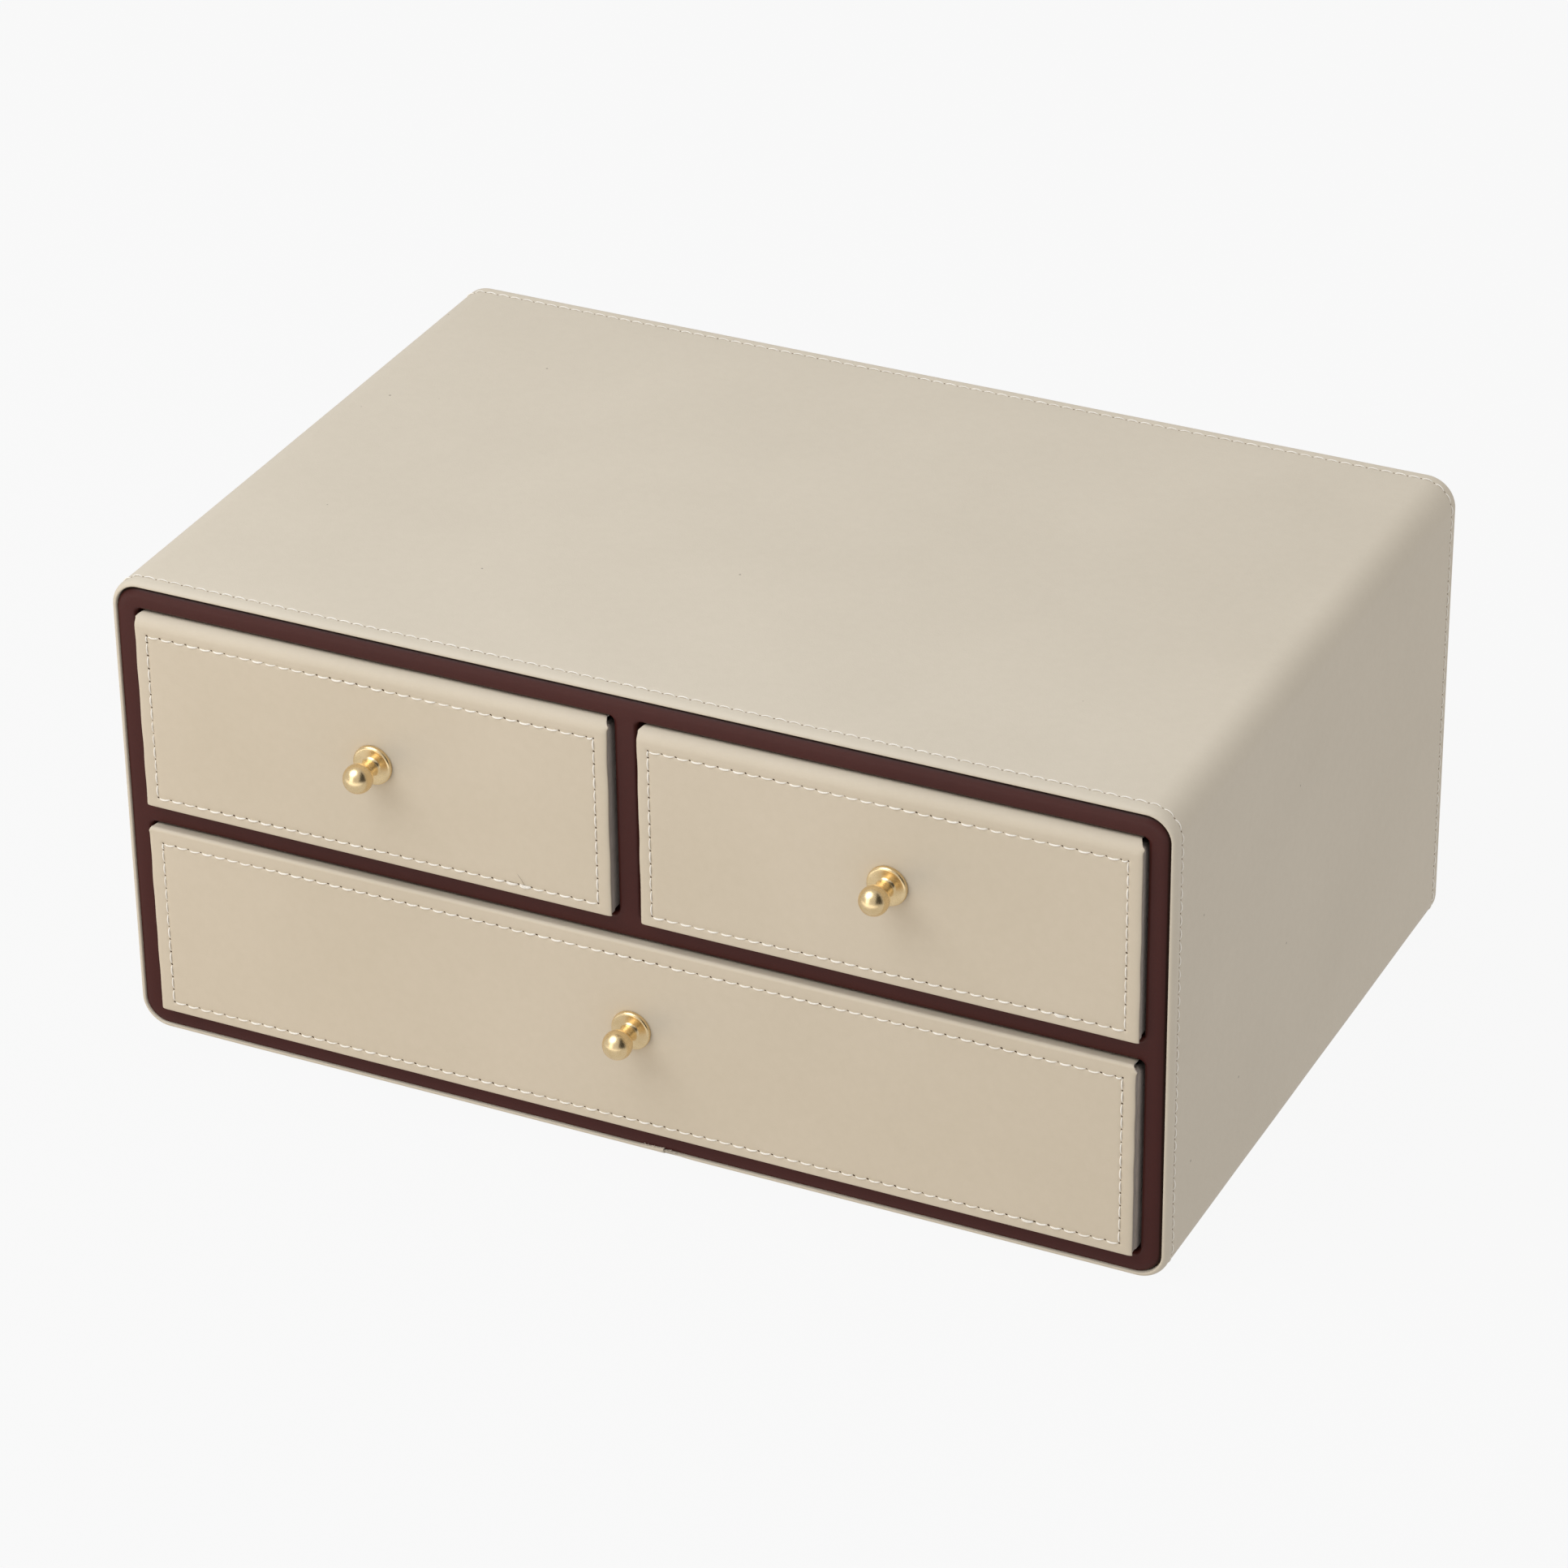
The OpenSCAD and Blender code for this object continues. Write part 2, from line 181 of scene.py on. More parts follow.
# %% Floor and cards
FLOOR_SIZE, FLOOR_LEVEL = 14.0, -0.0003
FLOOR_GLOW = 0.925


def make_floor():
    """The white table, which only the camera sees."""
    half = FLOOR_SIZE / 2
    corners = level_corners((-half, -half), (half, half), FLOOR_LEVEL)
    floor = studio_sheet("floor", corners, 0.02, FLOOR_GLOW, tint=(1, 1, 1), gloss=0.0)
    floor.visible_diffuse = floor.visible_glossy = floor.visible_shadow = False


def make_card(name, corners, grey, glow):
    """A card that only polished surfaces see. A black one beside the camera gives the balls of the
    knobs the dark streak that tells brass from yellow plastic. Of two white ones, the one on the
    floor gives them a soft bright belly, and the upright one also catches the rolled leather."""
    card = studio_sheet(name, corners, grey, glow, tint=(1, 0.97, 0.92), gloss=0.5)
    card.visible_camera = card.visible_diffuse = card.visible_shadow = False


make_floor()
make_card("dark_card", [(0.45, 0.18, 1.94), (1.34, -2.09, 0.30), (2.47, -0.28, -0.2)], 0.01, 0.0)
make_card("floor_card", level_corners((-1.6, -2.4), (0.5, -0.4), -0.02), 0.5, 0.95)
upright_corners = [(-1.48, -2.15, 0.1), (-0.56, -2.55, 0.1), (-0.42, -2.2, 1.42), (-1.34, -1.8, 1.42)]
make_card("front_card", upright_corners, 0.5, 1.7)
print("floor glows at", FLOOR_GLOW)

# %% [markdown]
# ## From arrays to meshes
# Every new piece is an array of points and an array of faces. A grid of points, rows by columns,
# needs no list of faces of its own, because its quads follow from the two counts. The helpers
# below make those quads, close a shape's open ends with a fan, and put the arrays into a mesh in
# one go. Which way round the faces run is easy to get wrong, so it isn't left to chance: a closed
# shell whose faces point outwards encloses a positive volume, and one that comes out negative is
# turned round.

# %% Faces
def grid_quads(rows, columns, ring_rows=False, ring_columns=False):
    """Quads between neighbours in a grid numbered row by row. A ring joins its last line to the
    first."""
    r, c = np.meshgrid(
        np.arange(rows - (not ring_rows)), np.arange(columns - (not ring_columns)), indexing="ij"
    )
    r2, c2 = (r + 1) % rows, (c + 1) % columns
    quads = np.stack([r * columns + c, r * columns + c2, r2 * columns + c2, r2 * columns + c], -1)
    return quads.reshape(-1, 4)


def fan(loop, centre):
    """Triangles from each edge of a closed loop of points to one point in its middle."""
    loop = np.asarray(loop)
    return np.stack([loop, np.roll(loop, -1), np.full(len(loop), centre)], -1)


def end_caps(count, rows):
    """Fans that close a stack of rings, rows high and count round, with the two points after it."""
    last = count * rows
    first_cap = fan(np.arange(count), last)[:, ::-1]
    return np.concatenate([first_cap, fan(np.arange(last - count, last), last + 1)])


def enclosed(points, quads, triangles):
    """Volume inside a closed shell: the sum of the wedges from the origin to each triangle."""
    halves = np.concatenate([quads[:, [0, 1, 2]], quads[:, [0, 2, 3]], triangles])
    a, b, c = (points[halves[:, k]] for k in range(3))
    return np.einsum("ij,ij->i", a, np.cross(b, c)).sum() / 6


print("quads in a grid of 3 by 4 points:", len(grid_quads(3, 4)))
print("and when it is rolled up:", len(grid_quads(3, 4, ring_columns=True)))

# %% Meshes
NO_TRIANGLES = np.zeros((0, 3), int)
NO_QUADS = np.zeros((0, 4), int)


def make_mesh(name, points, quads, triangles, uv=None, period=None):
    """A smooth mesh from arrays. uv holds one pair of lengths per point, in millimetres.
    period is the length after which the first of them starts again round a ring."""
    corners = np.concatenate([quads.ravel(), triangles.ravel()]).astype(np.int32)
    starts = np.concatenate([4 * np.arange(len(quads)), 4 * len(quads) + 3 * np.arange(len(triangles))])
    mesh = bpy.data.meshes.new(name)
    mesh.vertices.add(len(points))
    mesh.vertices.foreach_set("co", (points * MM).astype(np.float32).ravel())
    mesh.loops.add(len(corners))
    mesh.loops.foreach_set("vertex_index", corners)
    mesh.polygons.add(len(starts))
    mesh.polygons.foreach_set("loop_start", starts.astype(np.int32))
    mesh.update(calc_edges=True)
    mesh.shade_smooth()
    if uv is not None:
        spread = uv[corners].copy()
        if period:
            around = spread[: quads.size, 0].reshape(-1, 4)
            far = around.max(1, keepdims=True) - around > period / 2
            spread[: quads.size, 0] = (around + far * period).ravel()
        layer = mesh.uv_layers.new(name="surface")
        layer.uv.foreach_set("vector", (spread * MM).astype(np.float32).ravel())
    return mesh


print("empty arrays of faces:", NO_QUADS.shape, NO_TRIANGLES.shape)

# %% Pieces
def make_piece(name, body, slot, material, points, quads=NO_QUADS, triangles=NO_TRIANGLES,
               replaces=(), closed=True, **uv):
    """Puts a shape into the scene as one object that rides on a body and stands for CAD nodes."""
    if closed and enclosed(points, quads, triangles) < 0:
        quads, triangles = quads[:, ::-1], triangles[:, ::-1]
    piece = bpy.data.objects.new(name, make_mesh(name, points, quads, triangles, **uv))
    bpy.context.scene.collection.objects.link(piece)
    for finish in material if isinstance(material, (list, tuple)) else [material]:
        piece.data.materials.append(finish)
    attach(piece, body)
    if replaces:
        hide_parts(*replaces)
    print(f"{name}: {len(points)} points, {2 * len(quads) + len(triangles)} triangles")
    return piece


def joined(parts):
    """Several (points, quads, triangles) shapes as one, with their faces renumbered."""
    shift = np.cumsum([0] + [len(p) for p, _, _ in parts])
    return (
        np.concatenate([p for p, _, _ in parts]),
        np.concatenate([q + s for (_, q, _), s in zip(parts, shift)]),
        np.concatenate([t + s for (_, _, t), s in zip(parts, shift)]),
    )


square = (np.zeros((4, 3)), grid_quads(2, 2), NO_TRIANGLES)
print("faces of two squares, joined:", joined([square, square])[1].tolist())

# %% [markdown]
# ## Nothing made by hand is quite straight
# Leather pulled over board has shallow waves a few centimetres long, and a cut edge wanders by a
# tenth of a millimetre. Both are a sum of a few sine waves of unlike lengths and chance phases:
# smooth, without any visible repeat, and the same on each run because the chance is seeded.

# %% Waves
def waves(places, length, height, seed, count=7):
    """Sum of sine waves over points (..., k), about length apart and height high."""
    places = np.asarray(places, float)
    chance = np.random.default_rng(seed)
    total = np.zeros(places.shape[:-1])
    for _ in range(count):
        direction = chance.normal(size=places.shape[-1])
        direction /= np.linalg.norm(direction)
        pace = 2 * np.pi / (length * chance.uniform(0.7, 1.6))
        total += np.sin(places @ direction * pace + chance.uniform(0, 2 * np.pi))
    return total * height / math.sqrt(count)


def line_waves(places, length, height, seed):
    """Waves along one length."""
    return waves(np.asarray(places, float)[..., None], length, height, seed)


print("waves at 0, 10, 20 mm:", line_waves([0, 10, 20], 30, 0.1, 1).round(3))

# %% [markdown]
# ## Building blocks for finishes
# A finish is a small network of nodes. One helper adds a node and fills its inputs, so that each
# recipe below reads as a list of what the surface is made of. Patterns that have no direction,
# such as the grain of leather, are read from the object's own coordinates. Patterns that follow
# a piece, such as the twist of a thread, are read from lengths measured along its surface.

# %% Node helpers
def add(tree, kind, inputs=None, **settings):
    """Adds a shader node. inputs gives values, or sockets of other nodes to join."""
    made = tree.nodes.new("ShaderNode" + kind)
    for key, value in settings.items():
        setattr(made, key, value)
    for key, value in (inputs or {}).items():
        if isinstance(value, bpy.types.NodeSocket):
            tree.links.new(value, made.inputs[key])
        else:
            made.inputs[key].default_value = value
    return made


def new_finish(name, roughness, **sockets):
    """A material whose shader's plain values are set on its own sockets."""
    material = bpy.data.materials.new(name)
    material.use_nodes = True
    tree = material.node_tree
    shader = tree.nodes["Principled BSDF"]
    shader.inputs["Roughness"].default_value = roughness
    for key, value in sockets.items():
        shader.inputs[key.replace("_", " ")].default_value = value
    return material, tree, shader


def srgb(red, green, blue):
    """A screen colour, 0 to 255, as the linear colour that a shader takes."""
    share = np.array([red, green, blue]) / 255
    linear = np.where(share <= 0.04045, share / 12.92, ((share + 0.055) / 1.055) ** 2.4)
    return (*linear.tolist(), 1)


print("half grey on a screen is", round(srgb(128, 128, 128)[0], 3), "in a shader")

# %% Where a pattern is read
def object_place(tree):
    """The object's own coordinates."""
    return add(tree, "TexCoord").outputs["Object"]


def surface_lengths(tree):
    """The two lengths that a piece's surface holds."""
    pair = add(tree, "SeparateXYZ", {0: add(tree, "UVMap", uv_map="surface").outputs[0]})
    return pair.outputs[0], pair.outputs[1]


def stretched(tree, where, *scale):
    """Coordinates scaled along X, Y and Z. A scale under 1 draws a pattern out."""
    return add(tree, "Mapping", {"Vector": where, "Scale": scale}).outputs[0]


print("places to read from:", [place.__name__ for place in (object_place, surface_lengths, stretched)])

# %% Patterns and how they are used
def noise(tree, where, per_mm, detail=2.0, roughness=0.5):
    """Soft noise whose blobs are about 1 / per_mm millimetres wide, as a 0 to 1 value."""
    return add(tree, "TexNoise", {
        "Vector": where, "Scale": per_mm / MM, "Detail": detail, "Roughness": roughness
    }).outputs["Fac"]


def cells(tree, where, per_mm, feature):
    """Distance to the nearest of scattered points, which lie about 1 / per_mm millimetres apart."""
    inputs = {"Vector": where, "Scale": per_mm / MM}
    return add(tree, "TexVoronoi", inputs, feature=feature).outputs["Distance"]


def maths(tree, operation, first, second=0.0):
    """One step of arithmetic."""
    return add(tree, "Math", {0: first, 1: second}, operation=operation).outputs[0]


def ridges(tree, turns):
    """Round ridges, one to each whole turn: the size of a sine."""
    return maths(tree, "ABSOLUTE", maths(tree, "SINE", maths(tree, "MULTIPLY", turns, math.pi)))


def graded(tree, value, low=0.3, high=0.7, to_low=0.0, to_high=1.0):
    """Stretches a value's range from low and high to to_low and to_high, and clips it there."""
    return add(tree, "MapRange", {
        "Value": value, "From Min": low, "From Max": high, "To Min": to_low, "To Max": to_high
    }).outputs["Result"]


def mixed(tree, share, first, second):
    """Blends two colours by a value."""
    return add(tree, "Mix", {0: share, 6: first, 7: second}, data_type="RGBA").outputs[2]


def painted(tree, shader, share, first, second):
    """Gives the shader a blend of two colours."""
    tree.links.new(mixed(tree, share, first, second), shader.inputs["Base Color"])


def raised(tree, shader, height, depth_mm):
    """Bumps the shader's surface: a height of 1 stands depth_mm proud."""
    bump = add(tree, "Bump", {"Height": height, "Distance": depth_mm * MM, "Strength": 1.0})
    tree.links.new(bump.outputs["Normal"], shader.inputs["Normal"])


print("patterns:", [pattern.__name__ for pattern in (noise, cells, ridges)])

# %% [markdown]
# ## Leather
# The leather is smooth and matt, with a grain that shows only close up: pores a third of a
# millimetre apart in a skin of shallow pebbles. Three scales make it: a slow drift of tone over
# several centimetres, a mottle of a few millimetres, and the grain itself, as bump and as a
# slight change of gloss. A few dark flecks lie far apart, as on any piece that has been handled.
# The drawer fronts and the wrap are one kind of leather, so one recipe makes both, the fronts with
# a slightly warmer tone: painted warmth for the warm light that falls on them. The same recipe makes
# the burgundy frame, which is a little glossier and is painted dark where it dives under the wrap:
# painted shade for the groove there.

# %% Leather recipe
FLECK_COLOUR = srgb(96, 84, 72)
# Painted shade: the dark of the groove where the burgundy dives under the wrap.
GROOVE_SHADE_COLOUR = srgb(24, 6, 3)


def leather(name, colour, shade, roughness, gloss, grain_mm, fleck=0.0, sheen=0.06, groove=None):
    """Fine-grained leather. colour and shade are its two tones, grain_mm is the depth of the grain.

    The last argument gives two depths in millimetres. Between them the leather is painted dark, as
    painted shade in the groove under the wrap, on a piece whose surface holds its depth behind the
    face as its first length."""
    material, tree, shader = new_finish(name, roughness, Specular_IOR_Level=gloss, Sheen_Weight=sheen)
    shader.inputs["Sheen Roughness"].default_value = 0.4
    where = object_place(tree)
    drift = graded(tree, noise(tree, where, 0.016), to_high=0.62)
    mottle = graded(tree, noise(tree, where, 0.35, 4.0, 0.6), to_high=0.38)
    finished = mixed(tree, maths(tree, "ADD", drift, mottle), colour, shade)
    if fleck:
        spots = graded(tree, cells(tree, where, 0.06, "F1"), 0.018, 0.026, fleck, 0.0)
        finished = mixed(tree, spots, finished, FLECK_COLOUR)
    # Painted shade in the groove under the wrap: dark between two depths behind the face.
    if groove:
        depth, _ = surface_lengths(tree)
        inside = graded(tree, depth, groove[0] * MM, groove[1] * MM, to_high=0.8)
        finished = mixed(tree, inside, finished, GROOVE_SHADE_COLOUR)
    tree.links.new(finished, shader.inputs["Base Color"])
    pores = maths(tree, "MULTIPLY", cells(tree, where, 2.6, "SMOOTH_F1"), 0.55)
    pebbles = noise(tree, where, 1.5, 3.0, 0.55)
    raised(tree, shader, maths(tree, "ADD", pores, pebbles), grain_mm)
    dullness = graded(tree, pebbles, to_low=roughness - 0.05, to_high=roughness + 0.06)
    tree.links.new(dullness, shader.inputs["Roughness"])
    return material


beige = leather("beige_leather", srgb(214, 205, 188), srgb(208, 199, 182), 0.55, 0.32, 0.035, fleck=0.55)
# The fronts' tone is a little warmer than the wrap's: painted warmth for the warm light in front.
front_beige = leather("front_leather", srgb(214, 203, 184), srgb(208, 197, 177), 0.55, 0.32, 0.035)
burgundy = leather(
    "burgundy_leather", srgb(70, 28, 24), srgb(64, 25, 21), 0.36, 0.24, 0.03, sheen=0.0, groove=(0.65, 0.95)
)
print("leathers:", beige.name, front_beige.name, burgundy.name)

# %% Cut edge of the leather
def cut_leather():
    """The raw edge of a leather sheet: paler than its face, fibrous, and set lighter as painted light."""
    material, tree, shader = new_finish("cut_leather_edge", 0.9, Specular_IOR_Level=0.1)
    fibre = noise(tree, object_place(tree), 4.0, 4.0, 0.7)
    # Painted light: the raw edge is set lighter than its own tone, for cuts that face away from the lamps.
    painted(tree, shader, fibre, srgb(250, 244, 234), srgb(222, 208, 192))
    raised(tree, shader, fibre, 0.12)
    return material


cut_edge = cut_leather()
print("cut edge:", cut_edge.name)

# %% [markdown]
# ## The wrap of the case
# One strip of leather goes right round the case like a sleeve. Its front and rear edges are
# folded in round a thin card and stitched through, which gives the rim its soft, full nose. It
# can be made as a section carried round an outline: the section runs from the front turn-in over
# the nose, back across the stitched face, over the rear nose and home along the inside, so the
# sheet has its true thickness. The outline is a rectangle with round corners, and measuring
# along it in stitch lengths lets the leather sink a little at each needle hole.

# %% Outline with round corners
def corner_centres(low, high, radius):
    """Centres of a rectangle's four round corners, anticlockwise from the lower right one."""
    corners = np.array([[high[0], low[1]], [high[0], high[1]], [low[0], high[1]], [low[0], low[1]]])
    return corners + radius * np.array([[-1, 1], [-1, -1], [1, -1], [1, 1]])


def rounded_outline(along, low, high, radius, start):
    """Points and outward normals at lengths along a rectangle with round corners, anticlockwise.

    low and high are its corners, and the length 0 lies on its lower side, at start across. Each
    side is a straight run, and each corner a quarter circle, whose normal turns with the length."""
    side, corner = high - low - 2 * radius, radius * np.pi / 2
    runs = np.array([side[0], corner, side[1], corner] * 2)
    ends = np.cumsum(runs)
    reach = np.mod(np.asarray(along, float) + start - low[0] - radius, ends[-1])
    run = np.minimum(np.searchsorted(ends, reach, side="right"), 7)
    past = reach - (ends[run] - runs[run])
    quarter, straight = run // 2, run % 2 == 0
    turn = (quarter - 1) * np.pi / 2 + np.where(straight, 0, past / radius)
    normal = np.stack([np.cos(turn), np.sin(turn)], -1)
    heading = np.stack([np.cos(quarter * np.pi / 2), np.sin(quarter * np.pi / 2)], -1)
    inner = corner_centres(low, high, radius)
    centre = np.where(straight[..., None], inner[quarter - 1] + past[..., None] * heading, inner[quarter])
    return centre + radius * normal, normal


def outline_length(low, high, radius):
    """Length of that outline."""
    return 2 * (high - low).sum() - 8 * radius + 2 * np.pi * radius


CASE_CORNER = 9.3
case_xz = (case_low[[0, 2]], case_high[[0, 2]])
case_round = outline_length(*case_xz, CASE_CORNER)
print("round the case:", round(case_round, 1), "mm")

# %% Needle holes
STITCH = 4.25


def hole_places(low, high, short=0):
    """Needle holes from low to high, about a stitch apart. Where short is 1 the last stitch is a
    half one, and where it is -1 the first one is, as a row ends in when it meets a corner."""
    steps = np.ones(round((high - low) / STITCH + abs(short) / 2))
    if short:
        steps[-1 if short > 0 else 0] = 0.5
    ends = np.concatenate([[0], np.cumsum(steps)])
    return low + (high - low) * ends / ends[-1]


SEAM_X = 9.0
SEAM_GAP = 0.3
FRONT_ROW, REAR_ROW = 4.1, 3.9
front_y, rear_y = case_low[1], case_high[1]
case_stitches = round(case_round / STITCH)
case_pitch = case_round / case_stitches
case_holes = (np.arange(case_stitches) + 0.5) * case_pitch
ROW_Y = {"front": front_y + FRONT_ROW, "rear": rear_y - REAR_ROW}
print("stitches in each row:", case_stitches, "pitch", round(case_pitch, 3))

# %% Section of the wrap
WRAP_THICK = trim_low[0] - case_low[0]
LEATHER = 0.6
GLUE = 0.02
TURN_IN = 14.0
NOSE = {"front": 2.4, "rear": 1.8}
NOSE_DEPTH = 1.4
NOSE_STEPS = 8
FACE_ROWS, FACE_MARGIN = 19, 6.0


def nose(reach, depth, thick):
    """Half of the rim: a long quarter ellipse outside, then a small quarter circle inside.
    Gives (depth under the face, distance behind the edge), from the face inwards."""
    a = np.linspace(0, np.pi / 2, NOSE_STEPS)
    outer = np.stack([depth * (1 - np.cos(a)), reach * (1 - np.sin(a))], -1)
    b = np.linspace(0, np.pi / 2, 5)[1:]
    small = thick - depth
    inner = np.stack([depth + small * np.sin(b), small * (1 - np.cos(b))], -1)
    return np.concatenate([outer, inner])


def wrap_section():
    """The closed section as (depth under the face, y), and where its outer face starts and ends."""
    deep, inside, fold = WRAP_THICK - GLUE, WRAP_THICK - LEATHER, LEATHER / 2
    front = nose(NOSE["front"], NOSE_DEPTH, deep)[::-1] + [0, front_y]
    rear = nose(NOSE["rear"], NOSE_DEPTH, deep) * [1, -1] + [0, rear_y]
    dense = np.array([-0.9, -0.55, -0.25, 0, 0.25, 0.55, 0.9])
    rows = np.concatenate([
        ROW_Y["front"] + dense[1:],
        np.linspace(front_y + FACE_MARGIN, rear_y - FACE_MARGIN, FACE_ROWS),
        ROW_Y["rear"] + dense[:-1],
    ])
    face = np.stack([np.zeros(len(rows)), rows], -1)
    half = np.linspace(-np.pi / 2, np.pi / 2, 5)
    across, along = fold * np.sin(half), fold * np.cos(half)
    middle = WRAP_THICK / 2
    rear_fold = np.stack([middle - across, rear_y - LEATHER - fold + along], -1)
    front_fold = np.stack([middle + across, front_y + LEATHER + fold - along], -1)
    section = np.concatenate([
        [[deep, front_y + TURN_IN], [deep, front_y + TURN_IN / 2]], front, face, rear,
        [[deep, rear_y - TURN_IN / 2], [deep, rear_y - TURN_IN], [inside, rear_y - TURN_IN]],
        rear_fold, front_fold, [[inside, front_y + TURN_IN]],
    ])
    first = 2 + len(front) - NOSE_STEPS
    return section, first, first + 2 * NOSE_STEPS + len(face)


section, face_from, face_to = wrap_section()
print("points in the section:", len(section), "on the outside:", face_to - face_from)

# %% Dimples along a row of stitches
GROOVE_DEPTH, GROOVE_HALF = 0.12, 0.42
HOLE_DEPTH, HOLE_HALF = 0.18, 0.5


def to_nearest(along, places):
    """Distance from each length to the nearest of the sorted places."""
    after = np.searchsorted(places, along).clip(1, len(places) - 1)
    return np.minimum(np.abs(along - places[after - 1]), np.abs(along - places[after]))


def stitch_groove(away, along, places):
    """Depth of the groove that a row of stitches pulls into leather.

    It falls off with the distance away from the row as a bell curve, and past the row's two
    ends, and it is deepest at the needle holes."""
    past = np.maximum(places[0] - along, along - places[-1]).clip(0)
    bell = np.exp(-0.5 * (away / GROOVE_HALF) ** 2 - 0.5 * (past / GROOVE_HALF) ** 2)
    return bell * (GROOVE_DEPTH + HOLE_DEPTH * np.exp(-0.5 * (to_nearest(along, places) / HOLE_HALF) ** 2))


print("depth at a hole:", round(float(stitch_groove(0, case_holes[1], case_holes)), 3), "mm")

# %% Outer face of the wrap
SKIN_SWELL, SKIN_SWELL_LENGTH, SKIN_CLEAR = 0.025, 55, 0.05
SEAM_SKIVE, SEAM_SKIVE_REACH = 0.5, 3.6  # how much the strip's first end is pared, and how far along
SEAM_LIP, SEAM_LIP_REACH = 0.5, 4.0  # how much the rim is fuller at its last end, and how far along
LIP_FROM, LIP_BEHIND = 1.3, 3.0  # the rim: how deep it starts, and how far it reaches from the edge


def case_face_depth(along, y):
    """How deep the outer face lies under the case's box: its grooves, its waves and the thin
    pared end of the leather on the right of the seam."""
    grooves = sum(stitch_groove(y - row, along, case_holes) for row in ROW_Y.values())
    places = np.stack(np.broadcast_arrays(along, y), -1)
    swell = waves(places, SKIN_SWELL_LENGTH, SKIN_SWELL, 11) + SKIN_CLEAR
    pared = SEAM_SKIVE * np.exp(-0.5 * (along / SEAM_SKIVE_REACH) ** 2)
    return grooves + swell + pared


def case_point(along, y, depth):
    """A point under the case's outline, at a length along it, and the outward normal there."""
    flat, normal = rounded_outline(along, *case_xz, CASE_CORNER, SEAM_X)
    flat = flat - normal * np.asarray(depth)[..., None]
    y = np.broadcast_to(y, flat.shape[:-1])
    return (
        np.stack([flat[..., 0], y, flat[..., 1]], -1),
        np.stack([normal[..., 0], np.zeros_like(y), normal[..., 1]], -1),
    )


print("face at the seam lies", round(float(case_face_depth(0.0, 0.0)), 2), "mm deep")

# %% Case skin as one surface
def strip_end(count, first):
    """Quads that close the end of a thin closed section, from each point to the one opposite."""
    k = np.arange(count // 2 - 1)
    return first + np.stack([k, k + 1, count - 2 - k, count - 1 - k], -1)


def case_skin():
    """The section carried round the outline, from one end of the strip to the other."""
    columns = 4 * case_stitches + 1
    along = np.linspace(SEAM_GAP / 2, case_round - SEAM_GAP / 2, columns)
    along_grid, y_grid = np.meshgrid(along, section[:, 1], indexing="ij")
    depth = np.broadcast_to(section[:, 0], along_grid.shape).copy()
    outside = slice(face_from, face_to)
    depth[:, outside] += case_face_depth(along_grid[:, outside], y_grid[:, outside])
    lip = SEAM_LIP * np.exp(-0.5 * ((case_round - along_grid) / SEAM_LIP_REACH) ** 2)
    depth += lip * (depth > LIP_FROM) * (y_grid < front_y + LIP_BEHIND)
    points, _ = case_point(along_grid, y_grid, depth)
    rows = len(section)
    quads = grid_quads(columns, rows, ring_columns=True)
    ends = np.concatenate([strip_end(rows, 0)[:, ::-1], strip_end(rows, (columns - 1) * rows)])
    return points.reshape(-1, 3), np.concatenate([quads, ends])


points, quads = case_skin()
make_piece("case_leather", "case", "beige_leather", beige, points, quads, replaces=["sleeve_leather"])

# %% [markdown]
# ## Stitches
# A lockstitch leaves a short length of thread on top of the leather between each pair of holes.
# On the wrap it stands up in a low arch along its row. On the flat fronts it also bows out to
# one side of its row, because the needle pulls it tight from one end.
# There are hundreds of stitches, so each one is a tube of only seven six-sided rings with a point
# at each end, and a whole row is worked out as one array: stitch by ring by side.

# %% Thread as tubes
RING_SIDES = 6


def tubes(centres, up, radii):
    """Closed tubes along rows of centres (tube, ring, xyz), with sides that start at up.

    Each ring is a circle in the plane across the line: the line's direction comes from the
    neighbours of each centre, and up is laid square to it. The first and last centres are poles."""
    heading = np.gradient(centres, axis=1)
    heading /= np.linalg.norm(heading, axis=-1, keepdims=True)
    side = np.cross(heading, up)
    side /= np.linalg.norm(side, axis=-1, keepdims=True)
    upright = np.cross(side, heading)
    turn = np.linspace(0, 2 * np.pi, RING_SIDES, endpoint=False)[:, None]
    rings = centres[:, 1:-1, None] + radii[..., None, None] * (
        np.cos(turn) * upright[:, 1:-1, None] + np.sin(turn) * side[:, 1:-1, None]
    )
    tubes_n, rings_n = rings.shape[:2]
    points = np.concatenate([rings.reshape(tubes_n, -1, 3), centres[:, [0, -1]]], 1)
    quads = grid_quads(rings_n, RING_SIDES, ring_columns=True)
    caps = end_caps(RING_SIDES, rings_n)
    step = points.shape[1] * np.arange(tubes_n)[:, None, None]
    return points.reshape(-1, 3), (quads + step).reshape(-1, 4), (caps + step).reshape(-1, 3)


def tube_uv(tubes_n, rings_n, length, radius):
    """Lengths along and around each tube, for the twist of its thread."""
    along = np.repeat(np.linspace(0, length, rings_n), RING_SIDES)
    around = np.tile(np.linspace(0, 2 * np.pi * radius, RING_SIDES, endpoint=False), rings_n)
    one = np.concatenate([np.stack([around, along], -1), [[0, 0], [0, length]]])
    return np.tile(one, (tubes_n, 1))


line = np.linspace([0, 0, 0], [4, 0, 0], 9)[None]
points, quads, triangles = tubes(line, np.array([0, 0, 1]), np.full((1, 7), 0.2))
print("one thread:", len(points), "points,", 2 * len(quads) + len(triangles), "triangles")

# %% Thread and holes
PLY_ROUND, PLY_ALONG = 0.82, 0.7


